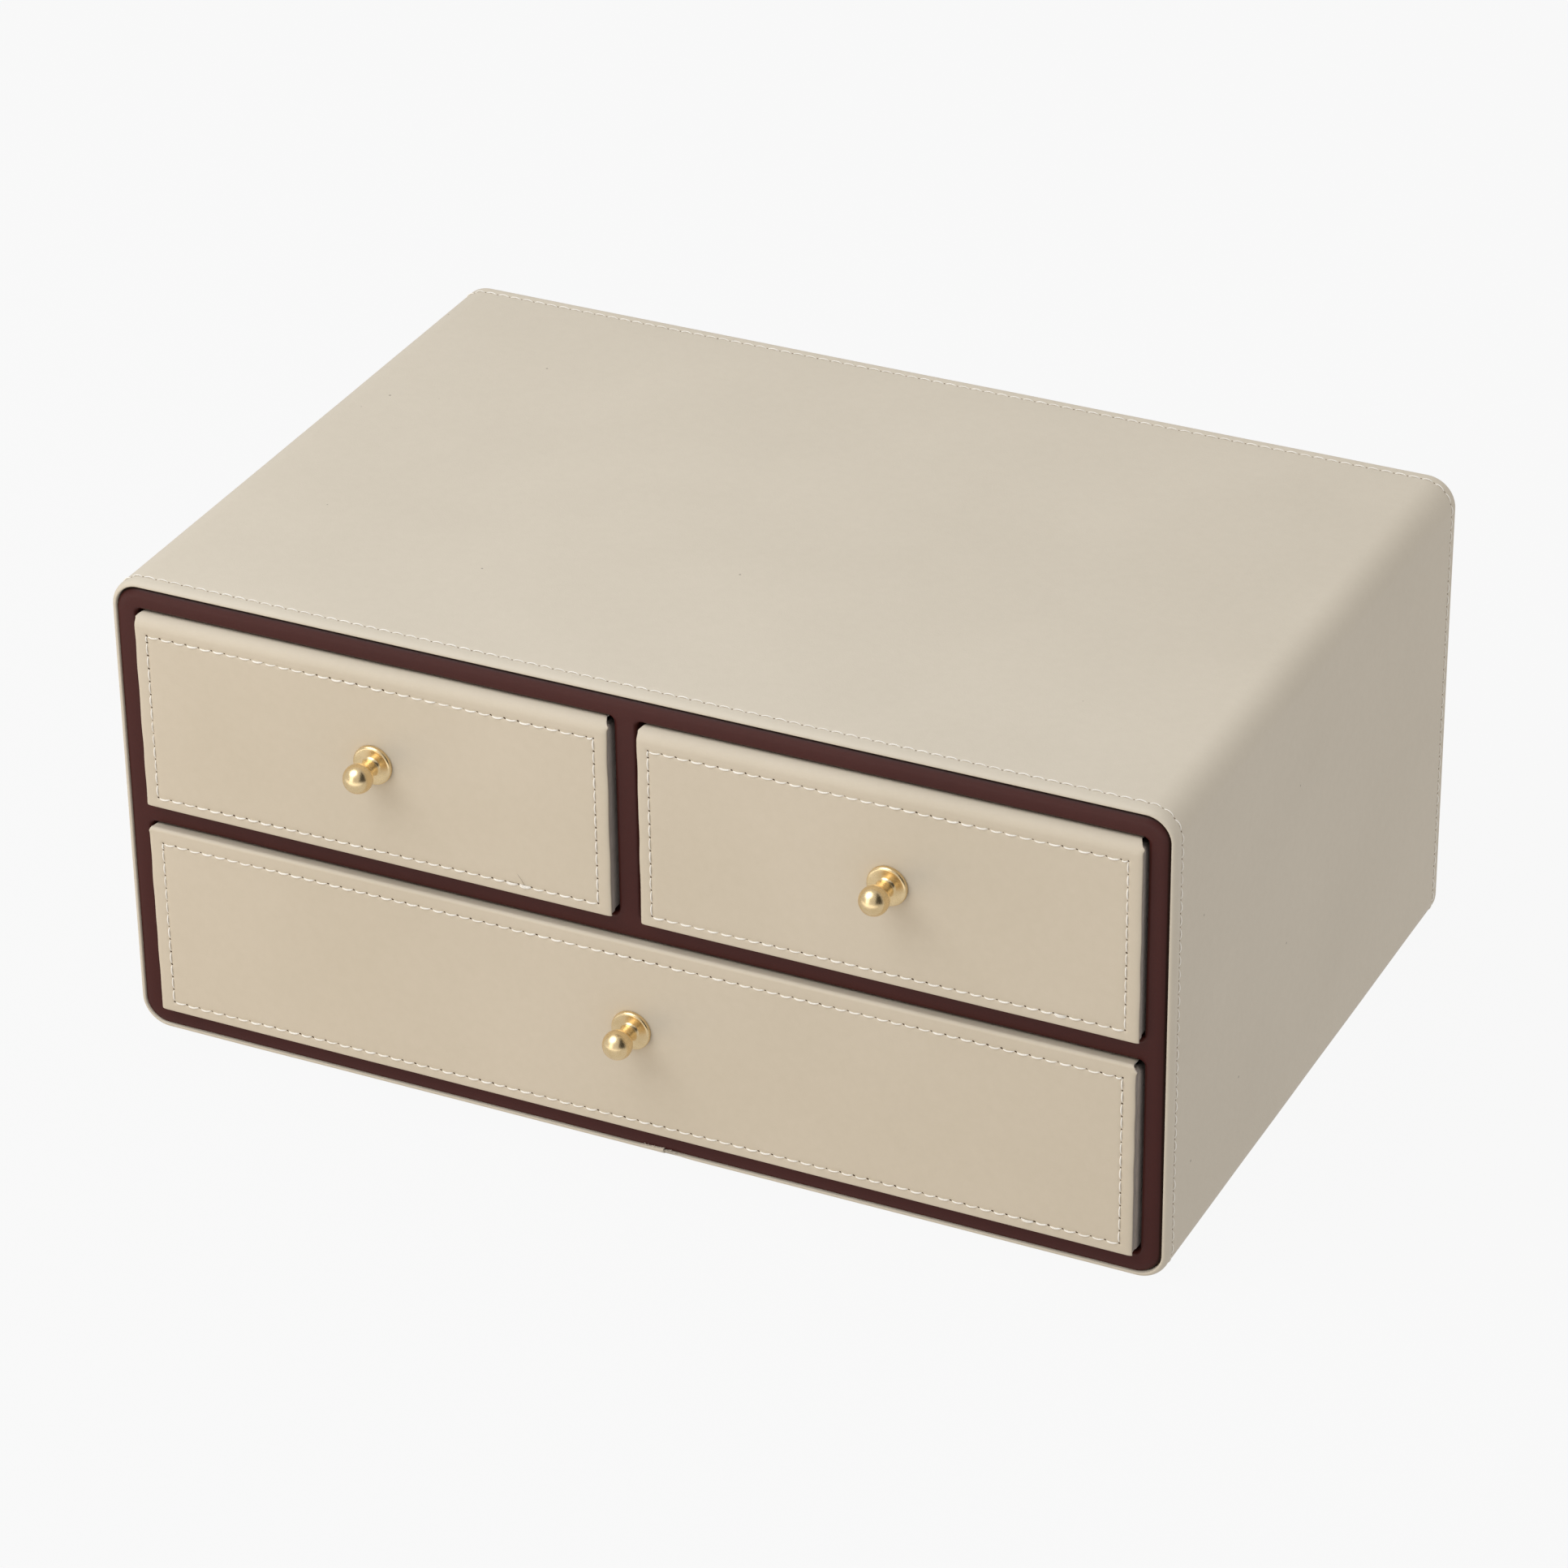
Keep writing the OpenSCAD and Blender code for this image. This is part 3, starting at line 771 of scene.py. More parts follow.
def thread_finish():
    """Cream cotton thread: plies whose twist shows as slanting ridges, with painted shade between them."""
    material, tree, shader = new_finish("cream_thread", 0.7, Specular_IOR_Level=0.25, Sheen_Weight=0.3)
    around, along = surface_lengths(tree)
    turns = maths(tree, "MULTIPLY", around, 1 / (PLY_ROUND * MM))
    twist = maths(tree, "ADD", turns, maths(tree, "MULTIPLY", along, 1 / (PLY_ALONG * MM)))
    ply = ridges(tree, twist)
    # Painted shade: the grooves between the plies are darker than their crests.
    painted(tree, shader, ply, srgb(240, 234, 222), srgb(255, 253, 247))
    raised(tree, shader, ply, 0.03)
    return material


def hole_finish(name, dark, light):
    """The shaded inside of a needle hole."""
    material, tree, shader = new_finish(name, 0.95, Specular_IOR_Level=0.05)
    painted(tree, shader, noise(tree, object_place(tree), 3.0), dark, light)
    return material


thread = thread_finish()
# Painted shade: the needle holes' lenses are coloured for the shade in each hole's depth.
front_hole = hole_finish("front_needle_hole", srgb(54, 39, 27), srgb(90, 70, 51))
case_hole = hole_finish("case_needle_hole", srgb(112, 94, 74), srgb(150, 132, 110))
print("thread and holes:", thread.name, front_hole.name, case_hole.name)

# %% Rows of stitches
THREAD_RADIUS = 0.22
THREAD_ROUND = 2 * np.pi * THREAD_RADIUS
STITCH_RINGS = 7
STITCH_SUNK = 0.42  # how deep a stitch's ends lie in their holes
RADIUS_SHARE = np.array([0.66, 0.94, 1.0, 1.0, 1.0, 0.94, 0.66])
UNEVEN, UNEVEN_PLACE = 0.14, 0.03  # spread of a stitch's size, as a share, and of its place
STEP = np.concatenate([[0.07], np.linspace(0.1, 0.9, STITCH_RINGS), [0.93]])
ARCH = np.sin(np.pi * np.clip((STEP - 0.06) / 0.88, 0, 1)) ** 0.6
EVEN_BOW = np.sin(np.pi * STEP)
EARLY_BOW = np.sin(np.pi * (0.25 + 0.75 * STEP))


def row_of_stitches(surface, starts, ends, rise, bow, radius, share, seed):
    """Threads from hole to hole, as closed tubes.

    surface(along, aside, height) gives a point and the normal over the row. Along a stitch the
    height follows a flattened half sine, up to rise, and bow says how far its line leaves the
    row. share is how much of the way between two holes shows thread. No two are quite alike."""
    chance = np.random.default_rng(seed)
    along = starts[:, None] + (0.5 + share * (STEP[None] - 0.5)) * (ends - starts)[:, None]
    vary = chance.normal(1, UNEVEN, (3, len(starts), 1))
    aside = bow[None] * vary[0] + chance.normal(0, UNEVEN_PLACE, (len(starts), 1))
    height = -STITCH_SUNK + (STITCH_SUNK + rise * vary[1]) * ARCH[None]
    centres, up = surface(along, aside, height)
    radii = radius * RADIUS_SHARE[None] * vary[2].clip(0.85, 1.15)
    return tubes(centres, up, radii)


print("heights along a stitch:", ARCH.round(2).tolist())

# %% Dark lenses in the needle holes
HOLE_SIDES = 8
HOLE_LONG, HOLE_SHORT = 1.3, 0.76
HOLE_RIM, HOLE_TOP, HOLE_FLOOR = -0.22, -0.14, -0.45


def row_of_holes(surface, places, radius, slit, seed):
    """A shallow dark lens in each needle hole, painted shade for its depth: a ring of points with one
    above and one below.

    The needle has a cutting point, so a hole is a short slit, 1.7 times as long as it is wide.
    slit is the direction of its length, as (along, aside)."""
    chance = np.random.default_rng(seed)
    turn = np.linspace(0, 2 * np.pi, HOLE_SIDES, endpoint=False)
    wide = radius * chance.uniform(0.8, 1.15, (len(places), 1))
    long, short = HOLE_LONG * wide * np.cos(turn), HOLE_SHORT * wide * np.sin(turn)
    middle = np.repeat(places[:, None], 2, 1)
    along = np.concatenate([places[:, None] + slit[0] * long - slit[1] * short, middle], 1)
    aside = np.concatenate([slit[1] * long + slit[0] * short, 0 * middle], 1)
    level = np.tile([HOLE_RIM] * HOLE_SIDES + [HOLE_TOP, HOLE_FLOOR], (len(places), 1))
    points, _ = surface(along, aside, level)
    rim = np.arange(HOLE_SIDES)
    faces = np.concatenate([fan(rim, HOLE_SIDES), fan(rim, HOLE_SIDES + 1)[:, ::-1]])
    step = (HOLE_SIDES + 2) * np.arange(len(places))[:, None, None]
    return points.reshape(-1, 3), NO_QUADS, (faces + step).reshape(-1, 3)


print("a needle slit is", round(HOLE_LONG / HOLE_SHORT, 2), "times as long as it is wide")

# %% A stitch that has come apart
STRANDS, STRAND_THREAD, STRAND_SUNK = 4, 0.13, 0.3
STRANDS_APART = (-0.62, 0.12)


def frayed_stitch(surface, start, end, seed):
    """One stitch whose thread has come apart: thin strands with unlike bows and heights."""
    chance = np.random.default_rng(seed)
    along = start + STEP[None] * (end - start) + chance.normal(0, 0.12, (STRANDS, 1))
    spread = np.linspace(*STRANDS_APART, STRANDS)[:, None] + chance.normal(0, 0.05, (STRANDS, 1))
    height = -STRAND_SUNK + (STRAND_SUNK + chance.uniform(0.1, 0.4, (STRANDS, 1))) * ARCH[None]
    centres, up = surface(along, spread * (0.35 + 0.65 * EARLY_BOW[None]), height)
    return tubes(centres, up, STRAND_THREAD * np.repeat(RADIUS_SHARE[None], STRANDS, 0))


print("strands in it:", STRANDS)

# %% Rows on the case
CASE_RISE = 0.10
CASE_BOW = 0.07
CASE_THREAD = 0.18
CASE_HOLE, FRONT_HOLE = 0.2, 0.28  # radius of a needle hole, before chance changes it
CASE_SHARE = 0.97
SLIT = (0.94, -0.34)  # the way that a needle slit points, as (along a level row, aside)
BASE_SINK = 0.26


def over_case(row_y, inwards):
    """The surface function of one row round the case. aside is measured away from the near edge.
    Under the case the threads are pressed flat into the leather, because it stands on them."""
    def surface(along, aside, height):
        flat, normal = case_point(along, row_y, np.zeros_like(along))
        under = np.clip(-normal[..., 2], 0, 1)
        lift = height - under * BASE_SINK * (height > -0.3)
        points = flat + normal * lift[..., None]
        points[..., 1] += inwards * aside
        return points, normal
    return surface


for end, inwards in (("front", 1), ("rear", -1)):
    surface = over_case(ROW_Y[end], inwards)
    starts, ends = case_holes[:-1], case_holes[1:]
    shape = row_of_stitches(
        surface, starts, ends, CASE_RISE, CASE_BOW * EVEN_BOW, CASE_THREAD, CASE_SHARE, 21 + inwards
    )
    uv = tube_uv(len(starts), STITCH_RINGS, case_pitch, THREAD_RADIUS)
    make_piece(f"{end}_case_stitches", "case", None, thread, *shape, uv=uv, period=THREAD_ROUND)
    shape = row_of_holes(surface, case_holes, CASE_HOLE, SLIT, 31 + inwards)
    make_piece(f"{end}_case_needle_holes", "case", None, case_hole, *shape)


# %% [markdown]
# ## The burgundy frame
# Burgundy leather is glued over the front edges of the boards and turned into the three mouths.
# It has no hard edge anywhere: it rolls back at the outside, where it meets the wrap in a groove,
# and it rolls into each mouth. It can be made as four rolled borders, one round the outside and one
# round each mouth, with the flat lattice between them filled by a triangulation that keeps to the
# borders. Solidify then gives the sheet its thickness on the hidden side. The mesh also holds how
# far its outer border lies behind the face, where the leather is painted dark in that groove as
# painted shade.

# %% Rings with matching points
def side_counts(low, high, step):
    """How many steps of about one length each side of a rectangle takes."""
    return np.maximum(2, np.round((high - low) / step).astype(int))


def ring(low, high, radius, sides, corner=7):
    """Points (n, 2) and normals round a rectangle with round corners, anticlockwise.

    sides gives the steps along a level and along an upright side, and corner the points on each
    corner, so that rings of other sizes with the same counts match point for point."""
    centre = corner_centres(low, high, radius)
    places, normals = [], []
    for quarter in range(4):
        turn = (quarter - 1) * np.pi / 2 + np.linspace(0, np.pi / 2, corner)
        normal = np.stack([np.cos(turn), np.sin(turn)], -1)
        places.append(centre[quarter] + radius * normal)
        normals.append(normal)
        gap = centre[(quarter + 1) % 4] - centre[quarter]
        share = np.linspace(0, 1, sides[(quarter + 1) % 2] + 1)[1:-1, None]
        places.append(centre[quarter] + radius * normal[-1] + share * gap)
        normals.append(np.repeat(normal[-1:], len(share), 0))
    return np.concatenate(places), np.concatenate(normals)


print("points in a ring:", len(ring(np.zeros(2), np.full(2, 40.0), 5.0, (10, 10))[0]))

# %% Mouths
lining_low, lining_high = zip(*(node_box(f"{name}_bay_lining") for name in ("left", "right", "wide")))
TRIM_THICK = node_box("carcass_left")[0][1] - trim_low[1]
MOUTH_SNUG = 0.55
MOUTH_EASE = {  # how much the full roll narrows each mouth: at the left, the right and the top
    "left": (0.2, 0.1, 1.05), "right": (0.1, 0.6, 1.05), "wide": (0.2, 0.45, 0.7)
}
mouths = [
    (a[[0, 2]] + TRIM_THICK + [left, 0], b[[0, 2]] - TRIM_THICK - [right, top])
    for a, b, (left, right, top) in zip(lining_low, lining_high, MOUTH_EASE.values())
]
MOUTH_CORNER = 1.6
trim_y, trim_back = trim_low[1], trim_high[1]
print("mouths:", [(a.round(1).tolist(), b.round(1).tolist()) for a, b in mouths])

# %% Rolled borders
BORDER_STEP = 3.0


def rolled_border(low, high, radius, roll, sign, behind, fuller=0.0):
    """A border that rolls back from the flat face. sign is 1 where the roll lies inside the
    outline, as at the outer edge, and -1 where it lies outside it, as round a mouth.

    roll is (across, deep): the roll is a quarter ellipse, across wide and deep from front to
    back. behind gives further rows as (offset from the outline, depth behind the face). fuller
    is the share by which the roll is less deep at the left and the lower side."""
    points, normals = ring(low, high, radius, side_counts(low, high, BORDER_STEP))
    across, deep = roll
    a = np.linspace(np.pi / 2, 0, 9)
    rows = np.stack([across * (1 - np.cos(a)), deep * (1 - np.sin(a))], -1)
    rows = np.concatenate([rows, behind])
    flat = points[None] - sign * rows[:, :1, None] * normals[None]
    lower = 1 - fuller * (1 - normals.max(1).clip(0, 1))
    y = trim_y + rows[:, 1:] * lower
    grid = np.stack([flat[..., 0], y, flat[..., 1]], -1)
    quads = grid_quads(len(rows), len(points), ring_columns=True)
    return grid, quads[:, ::-1] if sign > 0 else quads


CREVICE, LOW_CREVICE = 0.38, 0.06  # gap to the wrap: above and on the right, below and on the left
OUTER_ROLL, MOUTH_ROLL = (3.2, 2.1), (1.3, 1.5)
outer_edge = (case_xz[0] + WRAP_THICK + LOW_CREVICE, case_xz[1] - WRAP_THICK - CREVICE)
tucked = [(0, 2.6), (-0.08, 3.0), (-CREVICE - 0.1, 3.3), (-CREVICE - 0.1, 6)]
outer_rows = rolled_border(
    *outer_edge, CASE_CORNER - WRAP_THICK - CREVICE, OUTER_ROLL, 1, tucked, fuller=0.7
)
turned_in = [(0, MOUTH_ROLL[1] + 2), (MOUTH_SNUG / 2, MOUTH_ROLL[1] + 7), (MOUTH_SNUG, trim_back - trim_y)]
mouth_rows = [rolled_border(*m, MOUTH_CORNER, MOUTH_ROLL, -1, turned_in) for m in mouths]
print("rows in the borders:", len(outer_rows[0]), [len(rows) for rows, _ in mouth_rows])

# %% Flat lattice between the borders
def fill_between(outer, holes, y):
    """Triangles over a flat face, from its outer loop to the loops of its holes.

    A constrained triangulation keeps every loop's edges. It fills the holes too. They are convex,
    so the triangles to drop are just those whose three corners lie on one hole's own loop."""
    loops = [outer, *holes]
    starts = np.cumsum([0] + [len(loop) for loop in loops])
    numbers = [start + np.arange(len(loop)) for start, loop in zip(starts, loops)]
    edges = np.concatenate([np.stack([n, np.roll(n, -1)], -1) for n in numbers]).tolist()
    places = np.concatenate(loops)
    triangles = np.array(geometry.delaunay_2d_cdt([Vector(p) for p in places], edges, [], 1, 1e-6)[2])
    loop = np.searchsorted(starts, triangles, side="right") - 1
    triangles = triangles[(loop[:, 0] == 0) | (loop[:, 1] != loop[:, 0]) | (loop[:, 2] != loop[:, 0])]
    points = np.stack([places[:, 0], np.full(len(places), y), places[:, 1]], -1)
    return points, triangles, starts


def face_trim_shape():
    """The four borders and the lattice that joins their first rows."""
    borders = [outer_rows, *mouth_rows]
    lattice, triangles, starts = fill_between(
        borders[0][0][0][:, [0, 2]], [rows[0][:, [0, 2]] for rows, _ in mouth_rows], trim_y
    )
    points, quads, shift = [], [], 0
    joins = np.zeros(len(lattice), int)
    for (rows, faces), start in zip(borders, starts):
        points.append(rows.reshape(-1, 3))
        quads.append(faces + shift)
        joins[start:start + rows.shape[1]] = shift + np.arange(rows.shape[1])
        shift += rows.shape[0] * rows.shape[1]
    points, quads, triangles = np.concatenate(points), np.concatenate(quads), joins[triangles]
    a, b, c = (points[triangles[:, k]] for k in range(3))
    backwards = np.cross(b - a, c - a)[:, 1] > 0
    triangles[backwards] = triangles[backwards][:, ::-1]
    return points, quads, triangles


points, quads, triangles = face_trim_shape()
print("quads in the borders:", len(quads), "triangles in the lattice:", len(triangles))

# %% Burgundy leather
TRIM_LEATHER = 0.6
TRIM_CLEAR = 0.06
TRIM_WAVE, TRIM_WAVE_LENGTH, TRIM_WAVE_DEEP = 0.035, 26, 3.0

outer_count = outer_rows[0][..., 0].size
# The outer border's depth behind the face, for the painted shade in the groove under the wrap.
shade_groove_depth = np.zeros((len(points), 2))
shade_groove_depth[:outer_count, 0] = points[:outer_count, 1] - trim_y
in_front = points[:, 1] < trim_y + TRIM_WAVE_DEEP
points[:, 1] += TRIM_CLEAR + waves(points[:, [0, 2]], TRIM_WAVE_LENGTH, TRIM_WAVE, 41) * in_front
burgundy_frame = make_piece(
    "burgundy_frame", "case", "burgundy_leather", burgundy, points, quads, triangles,
    replaces=["face_trim"], closed=False, uv=shade_groove_depth,
)
thickness = burgundy_frame.modifiers.new("thickness", "SOLIDIFY")
thickness.thickness = TRIM_LEATHER * MM
thickness.offset = -1

# %% Eased edges on the boards under it
BOARD_EASE = 2.6


def ease_board(node, width_mm):
    """Rounds a board's edges, so that it stays under the rolled leather."""
    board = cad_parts[node]
    weld = board.modifiers.new("one_skin", "WELD")
    weld.merge_threshold = 0.001 * MM
    flat = board.modifiers.new("whole_faces", "DECIMATE")
    flat.decimate_type = "DISSOLVE"
    flat.angle_limit = math.radians(1)
    bevel = board.modifiers.new("eased_edges", "BEVEL")
    bevel.width = width_mm * MM
    bevel.segments = 3
    bevel.use_clamp_overlap = False
    bevel.limit_method = "ANGLE"
    bevel.angle_limit = math.radians(40)


for side in ("top", "bottom", "left", "right"):
    ease_board(f"carcass_{side}", BOARD_EASE)
print("boards eased")

# %% [markdown]
# ## Drawer fronts
# Each front is one sheet of leather glued to the front board and rolled back over its top edge,
# where its two corners are cut off at a slant. A row of stitches runs round it. The sheet can be
# made as a grid whose rows climb the face, turn over the roll and run back along the flap, and
# whose columns are drawn together where the corners are cut. An outer and an inner grid, joined
# all round, give it thickness. The edges are pressed thinner, as a hand-finished edge is, apart
# from the raw cuts at the corners, which keep the leather's full thickness and paler inside.

# %% Sizes of a front
SHEET = 0.8
CORNER_CUTS = {  # width and length of the cut at the left and at the right corner
    "left_drawer": ((1.1, 2.8), (1.4, 4.0)),
    "right_drawer": ((0.9, 2.8), (1.7, 4.0)),
    "wide_drawer": ((0.6, 2.2), (0.9, 2.9)),
}
EARS = (0.12, 0.4)  # how far the leather stands out at the lower end of a left and a right cut
FRONT_ROLL = {"left_drawer": 4.0, "right_drawer": 4.0, "wide_drawer": 1.1}
ROLL_TURN = {  # the sheet turns a little past level, and its flap slopes down to the rear
    "left_drawer": np.radians(112), "right_drawer": np.radians(112), "wide_drawer": np.radians(97)
}
FRONT_EASE = {  # how far the leather stays inside its node: at the left, the right and the top
    "left_drawer": (0, 0, 0.85), "right_drawer": (0.45, 0, 0.85), "wide_drawer": (0, 0.7, 0.12)
}
FRONT_INSETS = {  # distance of the stitches from the sides, the lower edge and the top
    "left_drawer": (4.05, 3.45, 6.85), "right_drawer": (4.05, 3.45, 6.85), "wide_drawer": (4.5, 3.45, 4.85)
}


class Front:
    """The sizes of one drawer's front, read from its node, and its four rows of stitches:
    upper and lower along X, then left and right along Z."""

    def __init__(self, drawer):
        self.low, self.high = node_box(f"{drawer}_facing")
        side, under, over = FRONT_INSETS[drawer]
        self.row_low = np.array([self.low[0] + side, self.low[2] + under])
        self.row_high = np.array([self.high[0] - side, self.high[2] - over])
        left, right, top = FRONT_EASE[drawer]
        self.low = self.low + [left, 0, 0]
        self.high = self.high - [right, 0, top]
        self.roll, self.turn = FRONT_ROLL[drawer], ROLL_TURN[drawer]
        low, high = self.row_low, self.row_high
        across, up = (low[0], high[0]), (low[1], high[1])
        self.rows = [  # axis along the row, the row's place on the other axis, its needle holes
            (0, high[1], hole_places(*across, short=1)), (0, low[1], hole_places(*across)),
            (1, low[0], hole_places(*up, short=1)), (1, high[0], hole_places(*up)),
        ]


fronts = {drawer: Front(drawer) for drawer in DRAWERS}
print("stitches in the rows:", {d: [len(p) - 1 for _, _, p in f.rows] for d, f in fronts.items()})

# %% Grid lines that crowd where the shape is busy
GRID_STEP, CLOSEST = 1.05, 0.04
BUSY_STEP, BUSY_REACH = 0.28, 0.9
AT_EDGE = np.array([0, 0.06, 0.16, 0.3, 0.5, 0.75, 1.05, 1.4])


def crowded(low, high, busy):
    """Places from low to high, a grid step apart, closer near both ends and each busy place."""
    places = [np.linspace(low, high, max(2, round((high - low) / GRID_STEP) + 1))]
    places += [np.arange(-BUSY_REACH, BUSY_REACH + 0.01, BUSY_STEP) + b for b in busy]
    places += [low + AT_EDGE, high - AT_EDGE]
    merged = np.unique(np.concatenate(places).clip(low, high))
    return merged[np.concatenate([[True], np.diff(merged) > CLOSEST])]


def front_rows(front):
    """Positions up the sheet, as a length from the lower edge over the roll to the flap's end, and
    the length at which the roll starts."""
    straight = front.high[2] - front.roll - front.low[2]
    arc_depth = front.roll * (1 - np.cos(front.turn))
    flap = (front.high[1] - front.low[1] - arc_depth) / np.sin(front.turn)
    busy = [front.row_low[1] - front.low[2], front.row_high[1] - front.low[2]]
    climb = crowded(0, straight, busy)
    arc = straight + front.roll * np.linspace(0, front.turn, 21)[1:]
    back = arc[-1] + np.linspace(0, flap, 4)[1:]
    return np.concatenate([climb, arc, back]), straight


rows, _ = front_rows(fronts["wide_drawer"])
print("rows on the wide front:", len(rows))

# %% Section of a front
def front_surface(front, length, straight, inwards):
    """(y, z) at lengths up the sheet, and inwards under its outer face.

    The face climbs straight, turns round the roll as a circle, and runs on at the last angle."""
    turn = np.clip((length - straight) / front.roll, 0, front.turn)
    past = np.clip(length - straight - front.roll * front.turn, 0, None)
    y = front.low[1] + front.roll * (1 - np.cos(turn)) + past * np.sin(turn)
    z = front.low[2] + np.minimum(length, straight) + front.roll * np.sin(turn) + past * np.cos(turn)
    normal = np.stack([-np.cos(turn), np.sin(turn)], -1)
    return np.stack([y, z], -1) - inwards[..., None] * normal


def front_relief(front, x, z):
    """Depth pressed into the face by the four rows of stitches."""
    depth = np.zeros(x.shape)
    for axis, row, places in front.rows:
        along, away = (x, z - row) if axis == 0 else (z, x - row)
        depth = np.maximum(depth, stitch_groove(away, along, places))
    return depth


def pressed_edge(away, reach, depth):
    """Depth at a rounded edge: a quarter circle that starts reach inside it."""
    share = 1 - np.clip(away / reach, 0, 1)
    return depth * (1 - np.sqrt(1 - share ** 2))


print("pressed edge, 0 to 1 mm from it:", pressed_edge(np.array([0, 0.25, 0.5, 1]), 1, 1).round(2).tolist())

# %% Sides and their cut corners
SIDE_WANDER, SIDE_WANDER_LENGTH, SIDE_CLEAR = 0.05, 16, 0.07
RAGGED, RAGGED_LENGTH = 0.025, 0.9
EAR_HALF = 0.42
CUT_LEAD, CUT_BLEND = 0.3, 0.5  # a raw edge starts a little below the slant, and grows full over a while


def cut_sides(drawer, length, crest, seed):
    """The left and the right side, at lengths up the sheet, as three pairs: how far the edge comes
    in, which lengths are raw cuts, and the share, 0 to 1, of the cut's thickness there.

    A cut is a straight slant up to the crest of the roll, ragged, with a small ear where it starts."""
    trims, raw, at_cut = [], [], []
    for k, (wide, long) in enumerate(CORNER_CUTS[drawer]):
        start = crest - long
        share = np.clip((length - start) / (crest - start), 0, 1.2)
        ragged = line_waves(length, RAGGED_LENGTH, RAGGED, seed + 7 + k) * (share > 0)
        ear = EARS[k] * np.exp(-0.5 * ((length - start) / EAR_HALF) ** 2)
        wander = line_waves(length, SIDE_WANDER_LENGTH, SIDE_WANDER, seed + 1 + k)
        trims.append(wide * share + ragged - ear + wander + SIDE_CLEAR)
        raw.append(length > start - CUT_LEAD)
        at_cut.append(np.clip((length - start + CUT_LEAD) / CUT_BLEND, 0, 1))
    return trims, raw, at_cut


print("cut corners:", {d: [long for _, long in cuts] for d, cuts in CORNER_CUTS.items()}, "mm long")

# %% Two grids as one sheet
def closed_sheet(outer, inner, raw):
    """Two matching grids as one closed sheet: both faces, then the wall round their border.
    raw marks grid points at a cut edge. Also gives, for each face, whether it is such an edge."""
    rows, columns = outer.shape[:2]
    count = rows * columns
    face = grid_quads(rows, columns)
    number = np.arange(count).reshape(rows, columns)
    border = np.concatenate([number[0, :-1], number[:-1, -1], number[-1, :0:-1], number[:0:-1, 0]])
    after = np.roll(border, -1)
    wall = np.stack([after, border, border + count, after + count], -1)
    points = np.concatenate([outer.reshape(-1, 3), inner.reshape(-1, 3)])
    cut = np.concatenate([np.zeros(2 * len(face), bool), raw.ravel()[border] & raw.ravel()[after]])
    return points, np.concatenate([face, face[:, ::-1] + count, wall]), cut


small = closed_sheet(np.zeros((2, 2, 3)), np.ones((2, 2, 3)), np.zeros((2, 2), bool))
print("faces of the smallest sheet:", len(small[1]))

# %% The leather of each front
SIDE_PRESS, LOW_PRESS = (1.5, 0.5), (0.7, 0.4)  # reach and depth
CUT_SPARED = 0.8  # the share of the side's press that a raw cut is spared
DRAWN_IN = 12.0  # how far from the sides the columns are drawn together
SHEET_WAVE, SHEET_WAVE_LENGTH = 0.03, 38


def front_sheet(drawer, seed):
    """Points and faces of one front, and for each face whether it is a raw cut."""
    front = fronts[drawer]
    length, straight = front_rows(front)
    across = crowded(front.low[0], front.high[0], [front.row_low[0], front.row_high[0]])
    middle, half = (front.low[0] + front.high[0]) / 2, (front.high[0] - front.low[0]) / 2
    share_x = ((across - middle) / half)[None]
    trims, raw_sides, at_cut = cut_sides(drawer, length, straight + front.roll * np.pi / 2, seed)
    left, right = (front.low[0] + trims[0])[:, None], (front.high[0] - trims[1])[:, None]
    drawn = np.clip(1 - (half - np.abs(across - middle)) / DRAWN_IN, 0, 1)[None] ** 2
    x = middle + half * share_x + drawn * np.where(share_x < 0, left - front.low[0], right - front.high[0])
    up = np.broadcast_to(length[:, None], x.shape)
    z = front_surface(front, up, straight, np.zeros(x.shape))[..., 1]
    depth = (up < straight) * front_relief(front, x, z)
    full = np.where(share_x < 0, at_cut[0][:, None], at_cut[1][:, None])
    side_press = pressed_edge(np.minimum(x - left, right - x), *SIDE_PRESS)
    depth = depth + side_press * (1 - CUT_SPARED * full) + pressed_edge(up, *LOW_PRESS)
    depth = depth + waves(np.stack([x, up], -1), SHEET_WAVE_LENGTH, SHEET_WAVE, seed + 5) + SKIN_CLEAR
    sheets = []
    for inwards in (depth, np.full(x.shape, SHEET)):
        at = front_surface(front, up, straight, inwards)
        sheets.append(np.stack([x, at[..., 0], at[..., 1]], -1))
    raw = np.zeros(x.shape, bool)
    raw[:, 0], raw[:, -1] = raw_sides
    return closed_sheet(*sheets, raw)


for number, drawer in enumerate(DRAWERS):
    points, quads, cut = front_sheet(drawer, 100 * (number + 1))
    sheet = make_piece(
        f"{drawer}_front_leather", drawer, "front_leather", [front_beige, cut_edge], points, quads,
        replaces=[f"{drawer}_facing"],
    )
    sheet.data.polygons.foreach_set("material_index", cut.astype(np.int32))


# %% Stitches on the fronts
FRONT_RISE = 0.12
FRONT_BOW = (0.3, 0.09)
FRONT_THREAD = (0.24, 0.2)
FRONT_SHARE = (0.93, 0.97)
FRAYED = {"left_drawer": (-36.3, -32.0), "right_drawer": (131.5,), "wide_drawer": (123.5,)}


def over_front(front, axis, row):
    """The surface function of one straight row on a front. axis is 0 along X and 1 along Z."""
    normal = np.array([0.0, -1.0, 0.0])

    def surface(along, aside, height):
        x, z = (along, row + aside) if axis == 0 else (row + aside, along)
        points = np.stack([x, front.low[1] + SKIN_CLEAR - height, z], -1)
        return points, np.broadcast_to(normal, points.shape)
    return surface


